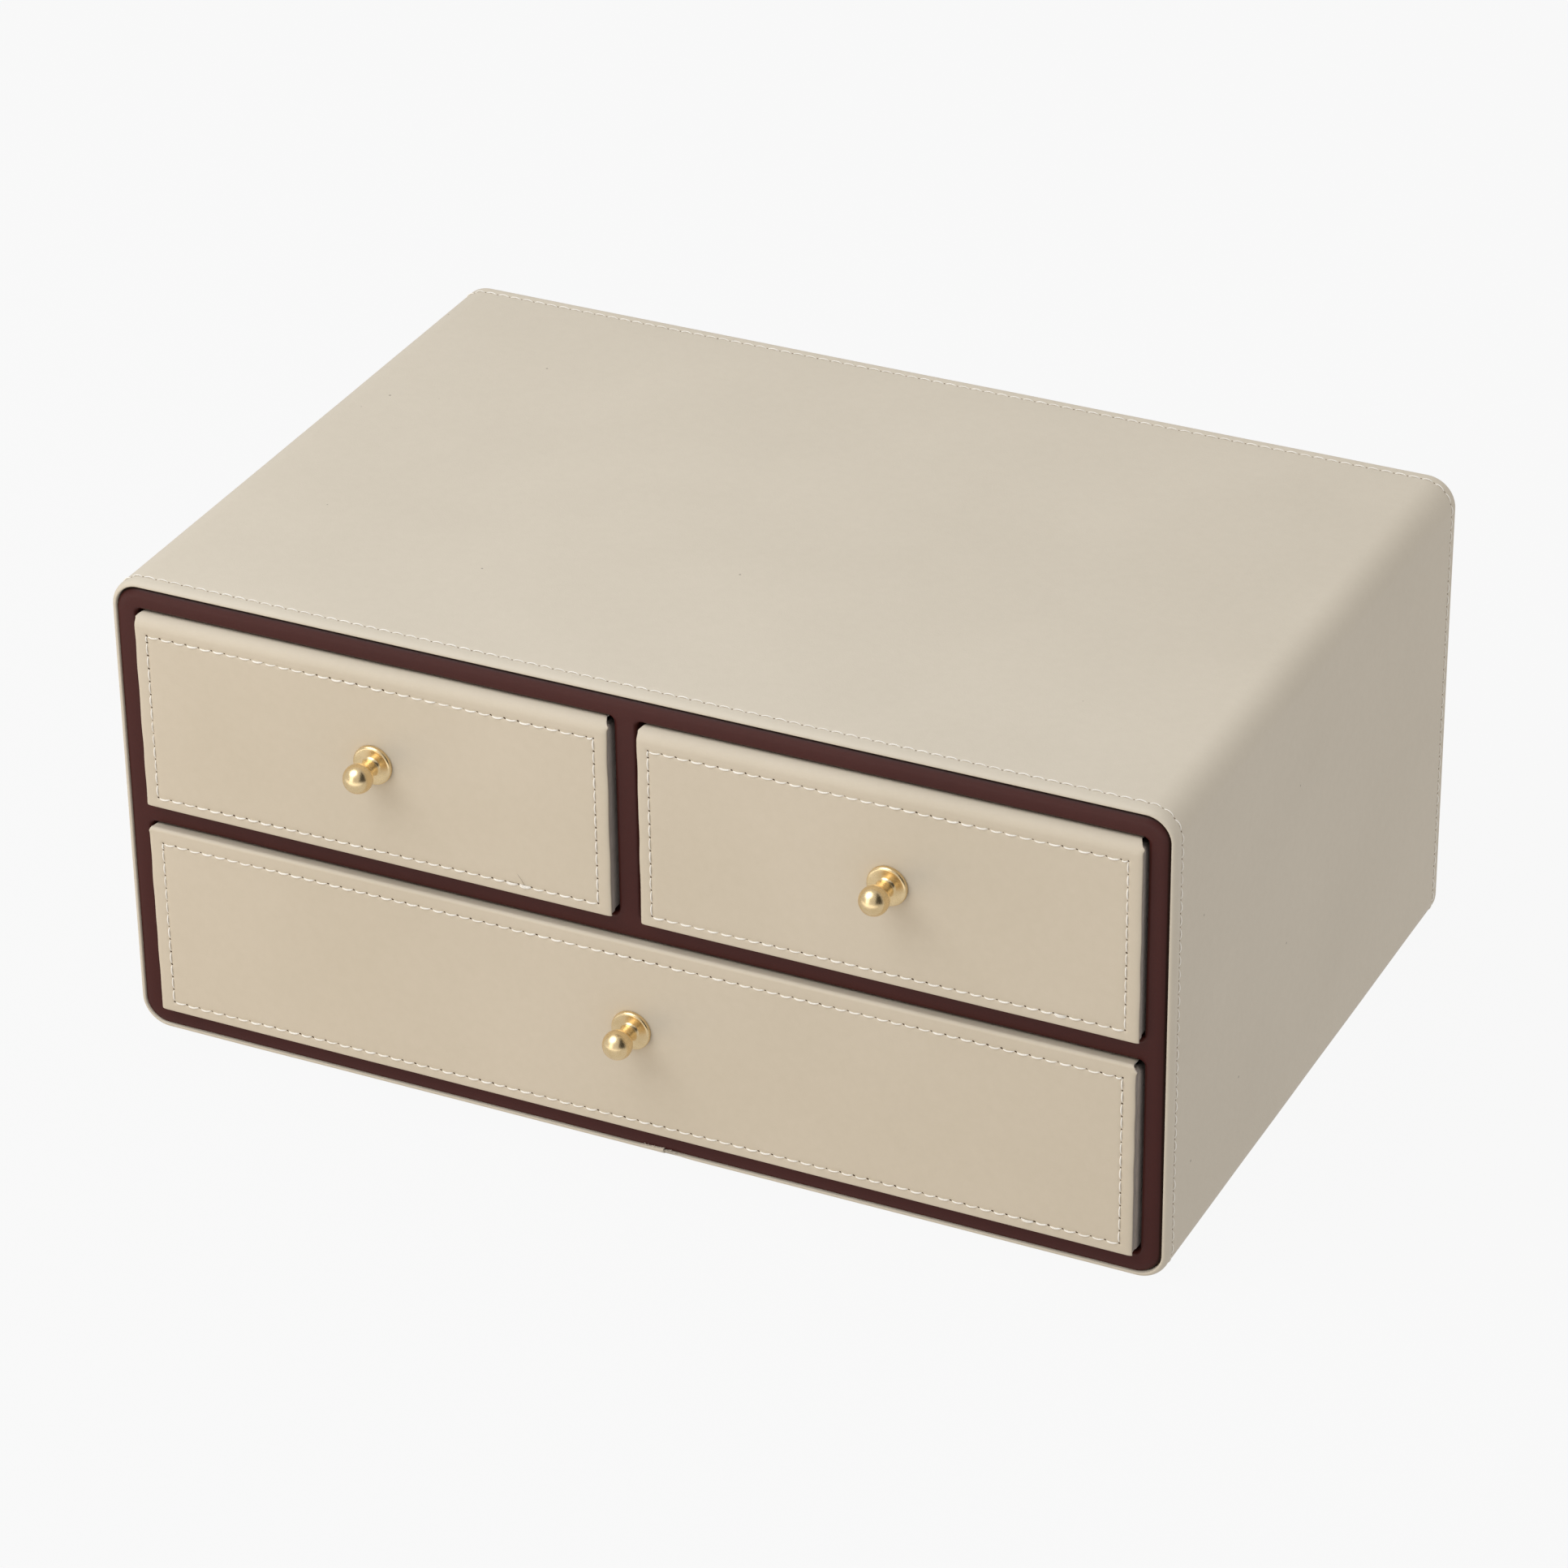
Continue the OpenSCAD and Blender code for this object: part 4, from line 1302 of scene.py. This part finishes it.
def front_stitches(drawer, seed):
    """All four rows of one front. A thread leaves its hole low or to the left of it and comes
    back to the row at the next one, so the upright rows are sewn, and numbered, downwards."""
    threads, holes = [], []
    for k, (axis, row, places) in enumerate(fronts[drawer].rows):
        surface = over_front(fronts[drawer], axis, row)
        order = places if axis == 0 else places[::-1]
        bow, radius, share = FRONT_BOW[axis], FRONT_THREAD[axis], FRONT_SHARE[axis]
        starts, ends = order[:-1], order[1:]
        if k == 1:
            torn = [np.argmin(np.abs((starts + ends) / 2 - x)) for x in FRAYED[drawer]]
            threads += [frayed_stitch(surface, starts[t], ends[t], seed + 30 + t) for t in torn]
            starts, ends = np.delete(starts, torn), np.delete(ends, torn)
        threads.append(row_of_stitches(
            surface, starts, ends, FRONT_RISE, -bow * EARLY_BOW, radius, share, seed + k
        ))
        own = places if axis == 0 else places[1:-1]
        slit = SLIT if axis == 0 else SLIT[::-1]
        holes.append(row_of_holes(surface, own, FRONT_HOLE, slit, seed + 10 + k))
    return joined(threads), joined(holes)


for number, drawer in enumerate(DRAWERS):
    threads, holes = front_stitches(drawer, 200 + 20 * number)
    count = len(threads[0]) // (STITCH_RINGS * RING_SIDES + 2)
    uv = tube_uv(count, STITCH_RINGS, STITCH, THREAD_RADIUS)
    make_piece(f"{drawer}_stitches", drawer, None, thread, *threads, uv=uv, period=THREAD_ROUND)
    make_piece(f"{drawer}_needle_holes", drawer, None, front_hole, *holes)


# %% [markdown]
# ## Loose fibres
# Where the two ends of the wrap meet under the front edge, the cut leather has frayed, and pale
# fibres lie over the burgundy. One dark fibre is caught in the left drawer's lower row. They are
# thin tubes that taper to a point, each bent to its own side.

# %% Loose fibres
FIBRE_SHARE = np.array([1.0, 1.0, 0.9, 0.8, 0.6, 0.4])


def fibres(roots, reach, bend, radius):
    """Tapered tubes from roots (n, 3), along reach (n, 3), bent aside by bend (n, 3) as a half sine."""
    t = np.linspace(0, 1, len(FIBRE_SHARE) + 2)[None, :, None]
    centres = roots[:, None] + t * reach[:, None] + np.sin(np.pi * t) * bend[:, None]
    return tubes(centres, np.array([0.3, -0.9, 0.2]), radius * np.repeat(FIBRE_SHARE[None], len(roots), 0))


def seam_fibres(count, seed):
    """Short fibres scattered along both ends of the wrap, rooted in its lower rim."""
    chance = np.random.default_rng(seed)
    across = SEAM_X + chance.uniform(-9, 4.5, count)
    roots = np.stack([across, np.full(count, front_y + 0.2), np.full(count, WRAP_THICK - 0.1)], -1)
    roots[:, 2] += SEAM_LIP * np.exp(-0.5 * ((across - SEAM_X) / SEAM_LIP_REACH) ** 2) * (across < SEAM_X)
    reach = np.stack([
        chance.normal(0.3, 0.7, count), -chance.uniform(0.0, 0.35, count), chance.uniform(0.25, 1.0, count)
    ], -1)
    return fibres(roots, reach, chance.normal(0, 0.16, (count, 3)), 0.07)


make_piece("seam_fibres", "case", None, cut_edge, *seam_fibres(22, 51))
hair_root = np.array([[-31.6, fronts["left_drawer"].low[1] - 0.1, 81.5]])
hair_reach, hair_bend = np.array([[-2.4, -0.5, 4.4]]), np.array([[0.25, 0, 0]])
hair = fibres(hair_root, hair_reach, hair_bend, 0.045)
make_piece("loose_dark_fibre", "left_drawer", None, front_hole, *hair)

# %% [markdown]
# ## Cloth on the drawer boxes
# The boxes are covered in a thin grey cloth, inside and out. On the drawers it is set far lighter
# than the grey cloth in the bays: painted light, for the narrow strips of it that show in shade
# beside the fronts. Over the boards' edges it turns with a soft radius, and where the front panel
# meets the sides it leaves a crease. Two closed shells make it: a panel behind the leather, and a
# tray whose section runs up the outside, over the wall's round top and down the inside. The tray's
# wall is higher at the front, so its top height is a function of how far back the wall stands.

# %% Woven cloth
WEAVE = 0.3


def cloth_finish(name, colour, shade, follow_surface):
    """Plain weave: warp and weft ridges that take turns on top, square by square, with painted shade where
    low.
    """
    material, tree, shader = new_finish(name, 0.86, Specular_IOR_Level=0.15, Sheen_Weight=0.35)
    shader.inputs["Sheen Roughness"].default_value = 0.5
    where = object_place(tree)
    if follow_surface:
        lengths = surface_lengths(tree)
    else:
        x, y, z = add(tree, "SeparateXYZ", {0: where}).outputs
        lengths = maths(tree, "ADD", x, z), y
    u, v = (maths(tree, "MULTIPLY", length, 1 / (WEAVE * MM)) for length in lengths)
    square = maths(tree, "ADD", maths(tree, "FLOOR", u), maths(tree, "FLOOR", v))
    on_top = maths(tree, "FLOORED_MODULO", square, 2.0)
    inputs = {0: on_top, 2: ridges(tree, u), 3: ridges(tree, v)}
    height = add(tree, "Mix", inputs, data_type="FLOAT").outputs[0]
    slub = graded(tree, noise(tree, where, 0.5, 3.0), to_low=0.7)
    streaks = graded(tree, noise(tree, stretched(tree, where, 1, 1, 0.05), 2.2, 3.0, 0.7), to_low=0.5)
    # Painted shade where the weave lies low, multiplied by the cloth's own slubs and streaks.
    raised_share = graded(tree, height, 0.0, 1.0, to_low=0.55)
    tone = maths(tree, "MULTIPLY", raised_share, maths(tree, "MULTIPLY", slub, streaks))
    painted(tree, shader, tone, shade, colour)
    raised(tree, shader, height, 0.05)
    return material


# Painted light: the drawer cloth is far lighter than the bays' grey cloth, for strips that lie in shade.
drawer_cloth = cloth_finish("drawer_cloth", srgb(206, 194, 184), srgb(142, 131, 122), follow_surface=True)
bay_cloth = cloth_finish("bay_cloth", srgb(120, 111, 104), srgb(90, 83, 78), follow_surface=False)
print("cloths:", drawer_cloth.name, bay_cloth.name)

# %% Shell carried round a ring
SHELL_STEP = 4.0


def run_lengths(points):
    """The length along a line of points, up to each of them."""
    return np.concatenate([[0], np.cumsum(np.linalg.norm(np.diff(points, axis=0), axis=1))])


def ring_shell(low, high, section, radius, inner_radius, place):
    """A closed shell whose rows are rings of one rectangle, each drawn inwards by an offset.

    section is a list of (offset, level). A ring's corner radius is radius less its offset, and
    never under inner_radius. place turns (flat points, level) into xyz. Fans close both ends."""
    sides = side_counts(low, high, SHELL_STEP)
    rows = []
    for offset, level in section:
        flat, _ = ring(low + offset, high - offset, max(radius - offset, inner_radius), sides)
        rows.append(place(flat, level))
    rows = np.array(rows)
    first, _ = ring(low, high, radius, sides)
    around = run_lengths(first)
    climbs = np.linalg.norm(np.diff(rows, axis=0), axis=-1).mean(1)
    up = np.concatenate([[0], np.cumsum(climbs)])
    count = rows.shape[1]
    points = np.concatenate([rows.reshape(-1, 3), [rows[0].mean(0), rows[-1].mean(0)]])
    uv = np.stack(np.broadcast_arrays(around[None], up[:, None]), -1).reshape(-1, 2)
    uv = np.concatenate([uv, [[0, 0], [0, up[-1]]]])
    quads = grid_quads(len(rows), count, ring_columns=True)
    return points, quads, end_caps(count, len(rows)), uv, around[-1] + np.linalg.norm(first[-1] - first[0])


print("lengths along three points:", run_lengths([[0, 0], [3, 4], [3, 5]]).tolist())

# %% Parts of a section
def quarter(steps, across, along, closing=False):
    """A quarter ellipse as (offset, level) steps, outwards from (across, 0) to (0, along).
    With closing it goes back inwards, from (0, 0) to (across, along)."""
    a = np.linspace(0, np.pi / 2, steps)
    if closing:
        return [(across * (1 - np.cos(t)), along * np.sin(t)) for t in a]
    return [(across * (1 - np.sin(t)), along * (1 - np.cos(t))) for t in a]


def lifted(section, level):
    """A section with all of its levels raised."""
    return [(offset, level + rise) for offset, rise in section]


def standing(flat, y):
    """A flat ring (x, z) that stands upright at y."""
    return np.stack([flat[:, 0], np.full(len(flat), y), flat[:, 1]], -1)


def lying(flat, z):
    """A flat ring (x, y) that lies level at z."""
    return np.stack([flat[:, 0], flat[:, 1], np.full(len(flat), z)], -1)


print("a round edge:", [(round(offset, 2), round(level, 2)) for offset, level in quarter(3, 1.0, 1.0)])

# %% Cloth-covered front panels
PANEL_DEEP = 3.0
PANEL_CORNER, PANEL_INNER_CORNER = 0.7, 0.5
PANEL_FRONT_EDGE, PANEL_BACK_EDGE = 0.7, 0.8
PANEL_INSET = 0.1
BOX_DROP = {"left_drawer": 2.0, "right_drawer": 2.0, "wide_drawer": 2.2}  # from the leather's top
BOX_INSET = 0.3  # how far the sides of the box stand back from the sides of the panel


def make_panel(drawer):
    """A slab behind the leather with round edges."""
    low, high = node_box(f"{drawer}_cloth_wrap")
    front = fronts[drawer].low[1] + SHEET
    left, right, _ = FRONT_EASE[drawer]
    low = low[[0, 2]] + [left + PANEL_INSET, 0]
    high = np.array([high[0] - (right + PANEL_INSET), fronts[drawer].high[2] - BOX_DROP[drawer]])
    section = lifted(quarter(5, PANEL_FRONT_EDGE, PANEL_FRONT_EDGE), front)
    back_edge = quarter(5, PANEL_BACK_EDGE, PANEL_BACK_EDGE, closing=True)
    section += lifted(back_edge, front + PANEL_DEEP - PANEL_BACK_EDGE)
    points, quads, caps, uv, period = ring_shell(
        low, high, section, PANEL_CORNER, PANEL_INNER_CORNER, standing
    )
    make_piece(
        f"{drawer}_front_cloth", drawer, "grey_cloth", drawer_cloth, points, quads, caps,
        replaces=[f"{drawer}_cloth_wrap", f"{drawer}_front_board"], uv=uv, period=period,
    )


for drawer in DRAWERS:
    make_panel(drawer)


# %% Trays
WALL, CLOTH = 3.8, 0.4
TRAY_EDGE, TRAY_FOOT, TRAY_INNER_CORNER = 1.2, 0.6, 0.6
TRAY_BACK = 2.05  # from the back of the leather to the tray's front, which lies inside the panel
TRAY_UNDER = 0.3  # from the panel's top to the tray's
RAMP = 2.5
SIDE_EASE = 1.45


def make_tray(drawer):
    """The cloth-covered tray: outside wall, round top, inside wall and floor as one shell."""
    low, high = node_box(f"{drawer}_cloth_wrap")
    leather_back = fronts[drawer].low[1] + SHEET
    floor_top = node_box(f"{drawer}_felt_pad")[0][2]
    wall_top = node_box(f"{drawer}_left_side")[1][2] + CLOTH
    base, top = low[2], fronts[drawer].high[2] - BOX_DROP[drawer] - TRAY_UNDER
    half = WALL / 2
    crown = [(half * (1 - math.cos(t)), half * (1 - math.sin(t))) for t in np.linspace(0, np.pi, 11)]
    foot = lifted(quarter(4, TRAY_FOOT, -TRAY_FOOT, closing=True), TRAY_FOOT)
    section = [(offset, ("base", rise)) for offset, rise in quarter(5, TRAY_EDGE, TRAY_EDGE)]
    section += [(offset, ("top", rise)) for offset, rise in crown]
    section += [(WALL + offset, ("floor", rise)) for offset, rise in foot]

    def place(flat, level):
        """Fixed heights from the base or the floor, and a wall top that drops behind the front."""
        kind, up = level
        behind = np.clip((flat[:, 1] - leather_back - WALL) / RAMP, 0, 1)
        ramp = (top - wall_top) * behind ** 2 * (3 - 2 * behind)
        z = {"base": base + up, "top": top - up - ramp, "floor": floor_top + up}[kind]
        return np.stack([flat[:, 0], flat[:, 1], np.broadcast_to(z, ramp.shape)], -1)

    plan_low = np.array([low[0] + BOX_INSET, leather_back + TRAY_BACK])
    points, quads, caps, uv, period = ring_shell(
        plan_low, high[:2] - [BOX_INSET, 0], section, TRAY_EDGE, TRAY_INNER_CORNER, place
    )
    make_piece(
        f"{drawer}_tray_cloth", drawer, "grey_cloth", drawer_cloth, points, quads, caps,
        replaces=[f"{drawer}_cloth_wrap"], uv=uv, period=period,
    )


for drawer in DRAWERS:
    make_tray(drawer)
    for board in ("left_side", "right_side", "back_wall"):
        ease_board(f"{drawer}_{board}", SIDE_EASE)


# %% [markdown]
# ## Felt pads
# A loose pad of grey felt lies on each drawer's floor. Felt has no weave, only matted fibres, so
# its look is a fine noise stretched two ways. The pad is a thin slab with soft edges.

# %% Felt
def felt_finish():
    """Matted fibres that run both ways."""
    material, tree, shader = new_finish("grey_felt", 0.95, Specular_IOR_Level=0.05, Sheen_Weight=0.5)
    where = object_place(tree)
    along, aside = (
        noise(tree, stretched(tree, where, *scale), 3.0, 3.0, 0.7) for scale in ((1, 0.25, 1), (0.25, 1, 1))
    )
    matted = maths(tree, "ADD", along, aside)
    painted(tree, shader, graded(tree, matted, 0.7, 1.3), srgb(84, 77, 73), srgb(116, 108, 102))
    raised(tree, shader, matted, 0.12)
    return material


felt = felt_finish()
PAD_EDGE, PAD_EDGE_HIGH = 0.35, 0.4
PAD_CORNER, PAD_INNER_CORNER = 2.0, 1.0


def make_pad(drawer):
    """A thin slab with soft edges on the drawer's floor."""
    low, high = node_box(f"{drawer}_felt_pad")
    thick = high[2] - low[2]
    section = lifted(quarter(4, PAD_EDGE, PAD_EDGE_HIGH), low[2])
    section += lifted(quarter(4, PAD_EDGE, PAD_EDGE_HIGH, closing=True), low[2] + thick - PAD_EDGE_HIGH)
    points, quads, caps, _, _ = ring_shell(low[:2], high[:2], section, PAD_CORNER, PAD_INNER_CORNER, lying)
    make_piece(
        f"{drawer}_pad", drawer, "grey_felt", felt, points, quads, caps, replaces=[f"{drawer}_felt_pad"]
    )


for drawer in DRAWERS:
    make_pad(drawer)


# %% [markdown]
# ## The back panel
# The back is closed by a thin board covered in the same beige leather. It sits just inside the
# rear rim, with soft edges, and can be made as one shell of rings that closes in the middle.

# %% Back panel
BACK_CLEAR = 0.15
BACK_EDGE, BACK_EDGE_DEEP = 1.5, 1.3
BACK_SUNK = 0.05  # how far the shell's hidden side lies inside the board's rear face
BACK_TURN_IN = [(2.0, 0.0), (0.0, -1.2)]
BACK_INNER_CORNER = 1.0
BACK_SAG = [(6, -0.02), (20, -0.05), (45, -0.07)]


def make_back():
    """From the turn-in round the board's edge over the soft rim to the slightly sunk middle."""
    low, high = node_box("back_leather")
    board_rear, rear = node_box("back_board")[1][1], high[1]
    section = lifted(BACK_TURN_IN, board_rear - BACK_SUNK)
    section += lifted(quarter(8, BACK_EDGE, BACK_EDGE_DEEP, closing=True), rear - BACK_EDGE_DEEP)
    section += lifted(BACK_SAG, rear)
    low, high = low[[0, 2]] + BACK_CLEAR, high[[0, 2]] - BACK_CLEAR
    points, quads, caps, _, _ = ring_shell(
        low, high, section, CASE_CORNER - WRAP_THICK, BACK_INNER_CORNER, standing
    )
    make_piece(
        "back_panel_leather", "case", "beige_leather", beige, points, quads, caps, replaces=["back_leather"]
    )


make_back()

# %% [markdown]
# ## Knobs
# The knobs are turned brass: a ball on a waisted neck, on a bevelled backplate. Turned work is a
# profile spun round an axis, so each is an array of radius against height, copied round in equal
# steps. The brass is polished but has been handled, so its gloss is a little soft, with faint
# rings from the lathe that follow the profile.

# %% Brass
def brass_finish():
    """Handled brass: a cloudy tone and gloss, and fine rings across its second length."""
    material, tree, shader = new_finish("satin_brass", 0.2, Metallic=1.0)
    around, up = surface_lengths(tree)
    ringed = add(tree, "CombineXYZ", {0: maths(tree, "MULTIPLY", around, 0.02), 1: up}).outputs[0]
    lathe = noise(tree, ringed, 9.0, 2.0, 0.6)
    cloud = noise(tree, object_place(tree), 0.45, 3.0)
    painted(tree, shader, graded(tree, cloud), (0.80, 0.62, 0.35, 1), (0.87, 0.69, 0.41, 1))
    handled = graded(tree, cloud, to_low=0.23, to_high=0.28)
    gloss = maths(tree, "ADD", handled, graded(tree, lathe, to_high=0.03))
    tree.links.new(gloss, shader.inputs["Roughness"])
    raised(tree, shader, lathe, 0.003)
    return material


brass = brass_finish()
print("knobs:", brass.name)

# %% Turned shapes
TURN_STEPS = 72
TURN_RADIUS = 4.0  # where the length round a turned piece is measured


def turned(profile, axis_x, axis_z, face_y):
    """Spins (radius, height) round an axis that leaves the front at face_y. Ends close in poles."""
    profile = np.asarray(profile, float)
    a = np.linspace(0, 2 * np.pi, TURN_STEPS, endpoint=False)
    radius, height = profile[:, :1], np.repeat(profile[:, 1:], TURN_STEPS, 1)
    rows = np.stack([axis_x + radius * np.cos(a), face_y - height, axis_z + radius * np.sin(a)], -1)
    ends = [[axis_x, face_y - profile[0, 1], axis_z], [axis_x, face_y - profile[-1, 1], axis_z]]
    points = np.concatenate([rows.reshape(-1, 3), ends])
    quads = grid_quads(len(profile), TURN_STEPS, ring_columns=True)
    climb = run_lengths(profile)
    uv = np.stack(np.broadcast_arrays(a[None] * TURN_RADIUS, climb[:, None]), -1).reshape(-1, 2)
    uv = np.concatenate([uv, [[0, 0], [0, climb[-1]]]])
    return points, quads, end_caps(TURN_STEPS, len(profile)), uv, 2 * np.pi * TURN_RADIUS


print("points in a turned disc:", len(turned([(4, 0), (4, 1)], 0, 0, 0)[0]))

# %% Profiles of a knob and its plate
def knob_profile(plate, reach, ball):
    """From the foot on the plate, in along the hollow curve, up the neck and round the ball."""
    foot, waist, hollow = 3.0, 2.4, 1.5
    curve_high = math.sqrt(hollow ** 2 - (waist + hollow - foot) ** 2)
    rise = np.linspace(0, curve_high, 9)
    flare = [(waist + hollow - math.sqrt(hollow ** 2 - (curve_high - t) ** 2), plate + t) for t in rise]
    start = math.asin(waist / ball)
    crown = [(ball * math.sin(t), reach - ball * math.cos(t)) for t in np.linspace(start, np.pi, 40)[:-1]]
    return flare + [(waist, (flare[-1][1] + crown[0][1]) / 2)] + crown


def plate_profile(radius, thick):
    """A disc with a rounded back edge, a straight rim, a soft rounded bevel and a flat face."""
    ease, bevel = 0.2, 0.75
    few, more = np.linspace(0, np.pi / 2, 4), np.linspace(0, np.pi / 2, 9)
    back = [(radius - ease * (1 - math.sin(t)), ease * (1 - math.cos(t))) for t in few]
    soft = [(radius - bevel * (1 - math.cos(t)), thick - bevel * (1 - math.sin(t))) for t in more]
    return back + soft + [(radius * 0.75, thick), (radius * 0.5, thick)]


print("points in the profiles:", len(knob_profile(1.2, 9.0, 4.4)), len(plate_profile(6.1, 1.2)))

# %% Knobs
def make_knob(drawer):
    """The knob and its plate, on the axis and at the sizes of their nodes."""
    low, high = node_box(f"{drawer}_knob_plate")
    knob_low, knob_high = node_box(f"{drawer}_knob")
    axis_x, _, axis_z = (low + high) / 2
    face_y, thick = high[1], high[1] - low[1]
    ball = (knob_high[0] - knob_low[0]) / 2
    profiles = {
        "knob": knob_profile(thick, face_y - knob_low[1] - ball, ball),
        "knob_plate": plate_profile((high[0] - low[0]) / 2, thick),
    }
    for name, profile in profiles.items():
        points, quads, caps, uv, period = turned(profile, axis_x, axis_z, face_y)
        made = make_piece(
            f"{drawer}_brass_{name}", drawer, "brass", brass, points, quads, caps,
            replaces=[f"{drawer}_{name}"], uv=uv, period=period,
        )
        made.data.set_sharp_from_angle(angle=math.radians(35))


for drawer in DRAWERS:
    make_knob(drawer)


# %% [markdown]
# ## Boards, card, linings and screws
# What is left are the exact solids, which only need their finish: fibreboard for the case and
# the boxes, card inside the wrap, cloth in the bays, and steel screws. They are hardly seen, but
# show at an open drawer or in the seam.

# %% Fibreboard, card and steel
def fibreboard_finish():
    """Pressed fibres, drawn out a little along Y."""
    material, tree, shader = new_finish("fibreboard", 0.8, Specular_IOR_Level=0.2)
    fibre = noise(tree, stretched(tree, object_place(tree), 1, 0.3, 1), 1.8, 4.0, 0.7)
    painted(tree, shader, graded(tree, fibre), srgb(148, 116, 82), srgb(184, 150, 112))
    raised(tree, shader, fibre, 0.05)
    return material


def card_finish():
    """Grey pulp."""
    material, tree, shader = new_finish("grey_card", 0.9, Specular_IOR_Level=0.1)
    pulp = noise(tree, object_place(tree), 1.2, 5.0, 0.7)
    painted(tree, shader, graded(tree, pulp), srgb(140, 132, 120), srgb(166, 158, 146))
    raised(tree, shader, pulp, 0.03)
    return material


def steel_finish():
    """Dull plating, cloudy in tone and gloss."""
    material, tree, shader = new_finish("plated_steel", 0.32, Metallic=1.0)
    cloud = noise(tree, object_place(tree), 0.8, 3.0)
    painted(tree, shader, cloud, (0.55, 0.55, 0.56, 1), (0.68, 0.68, 0.70, 1))
    tree.links.new(graded(tree, cloud, to_low=0.25, to_high=0.4), shader.inputs["Roughness"])
    return material


fibreboard, card, steel = fibreboard_finish(), card_finish(), steel_finish()
print("finishes:", fibreboard.name, card.name, steel.name)

# %% Finishes on the exact solids
def finish_for(node):
    """The finish of a solid that still shows, by what it is made of."""
    if "lining" in node:
        return bay_cloth
    if "card" in node:
        return card
    if "screw" in node:
        return steel
    return fibreboard


for node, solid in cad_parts.items():
    if not solid.hide_render:
        solid.data.materials.clear()
        solid.data.materials.append(finish_for(node))
print("solids that still show:", sum(not o.hide_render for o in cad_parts.values()))
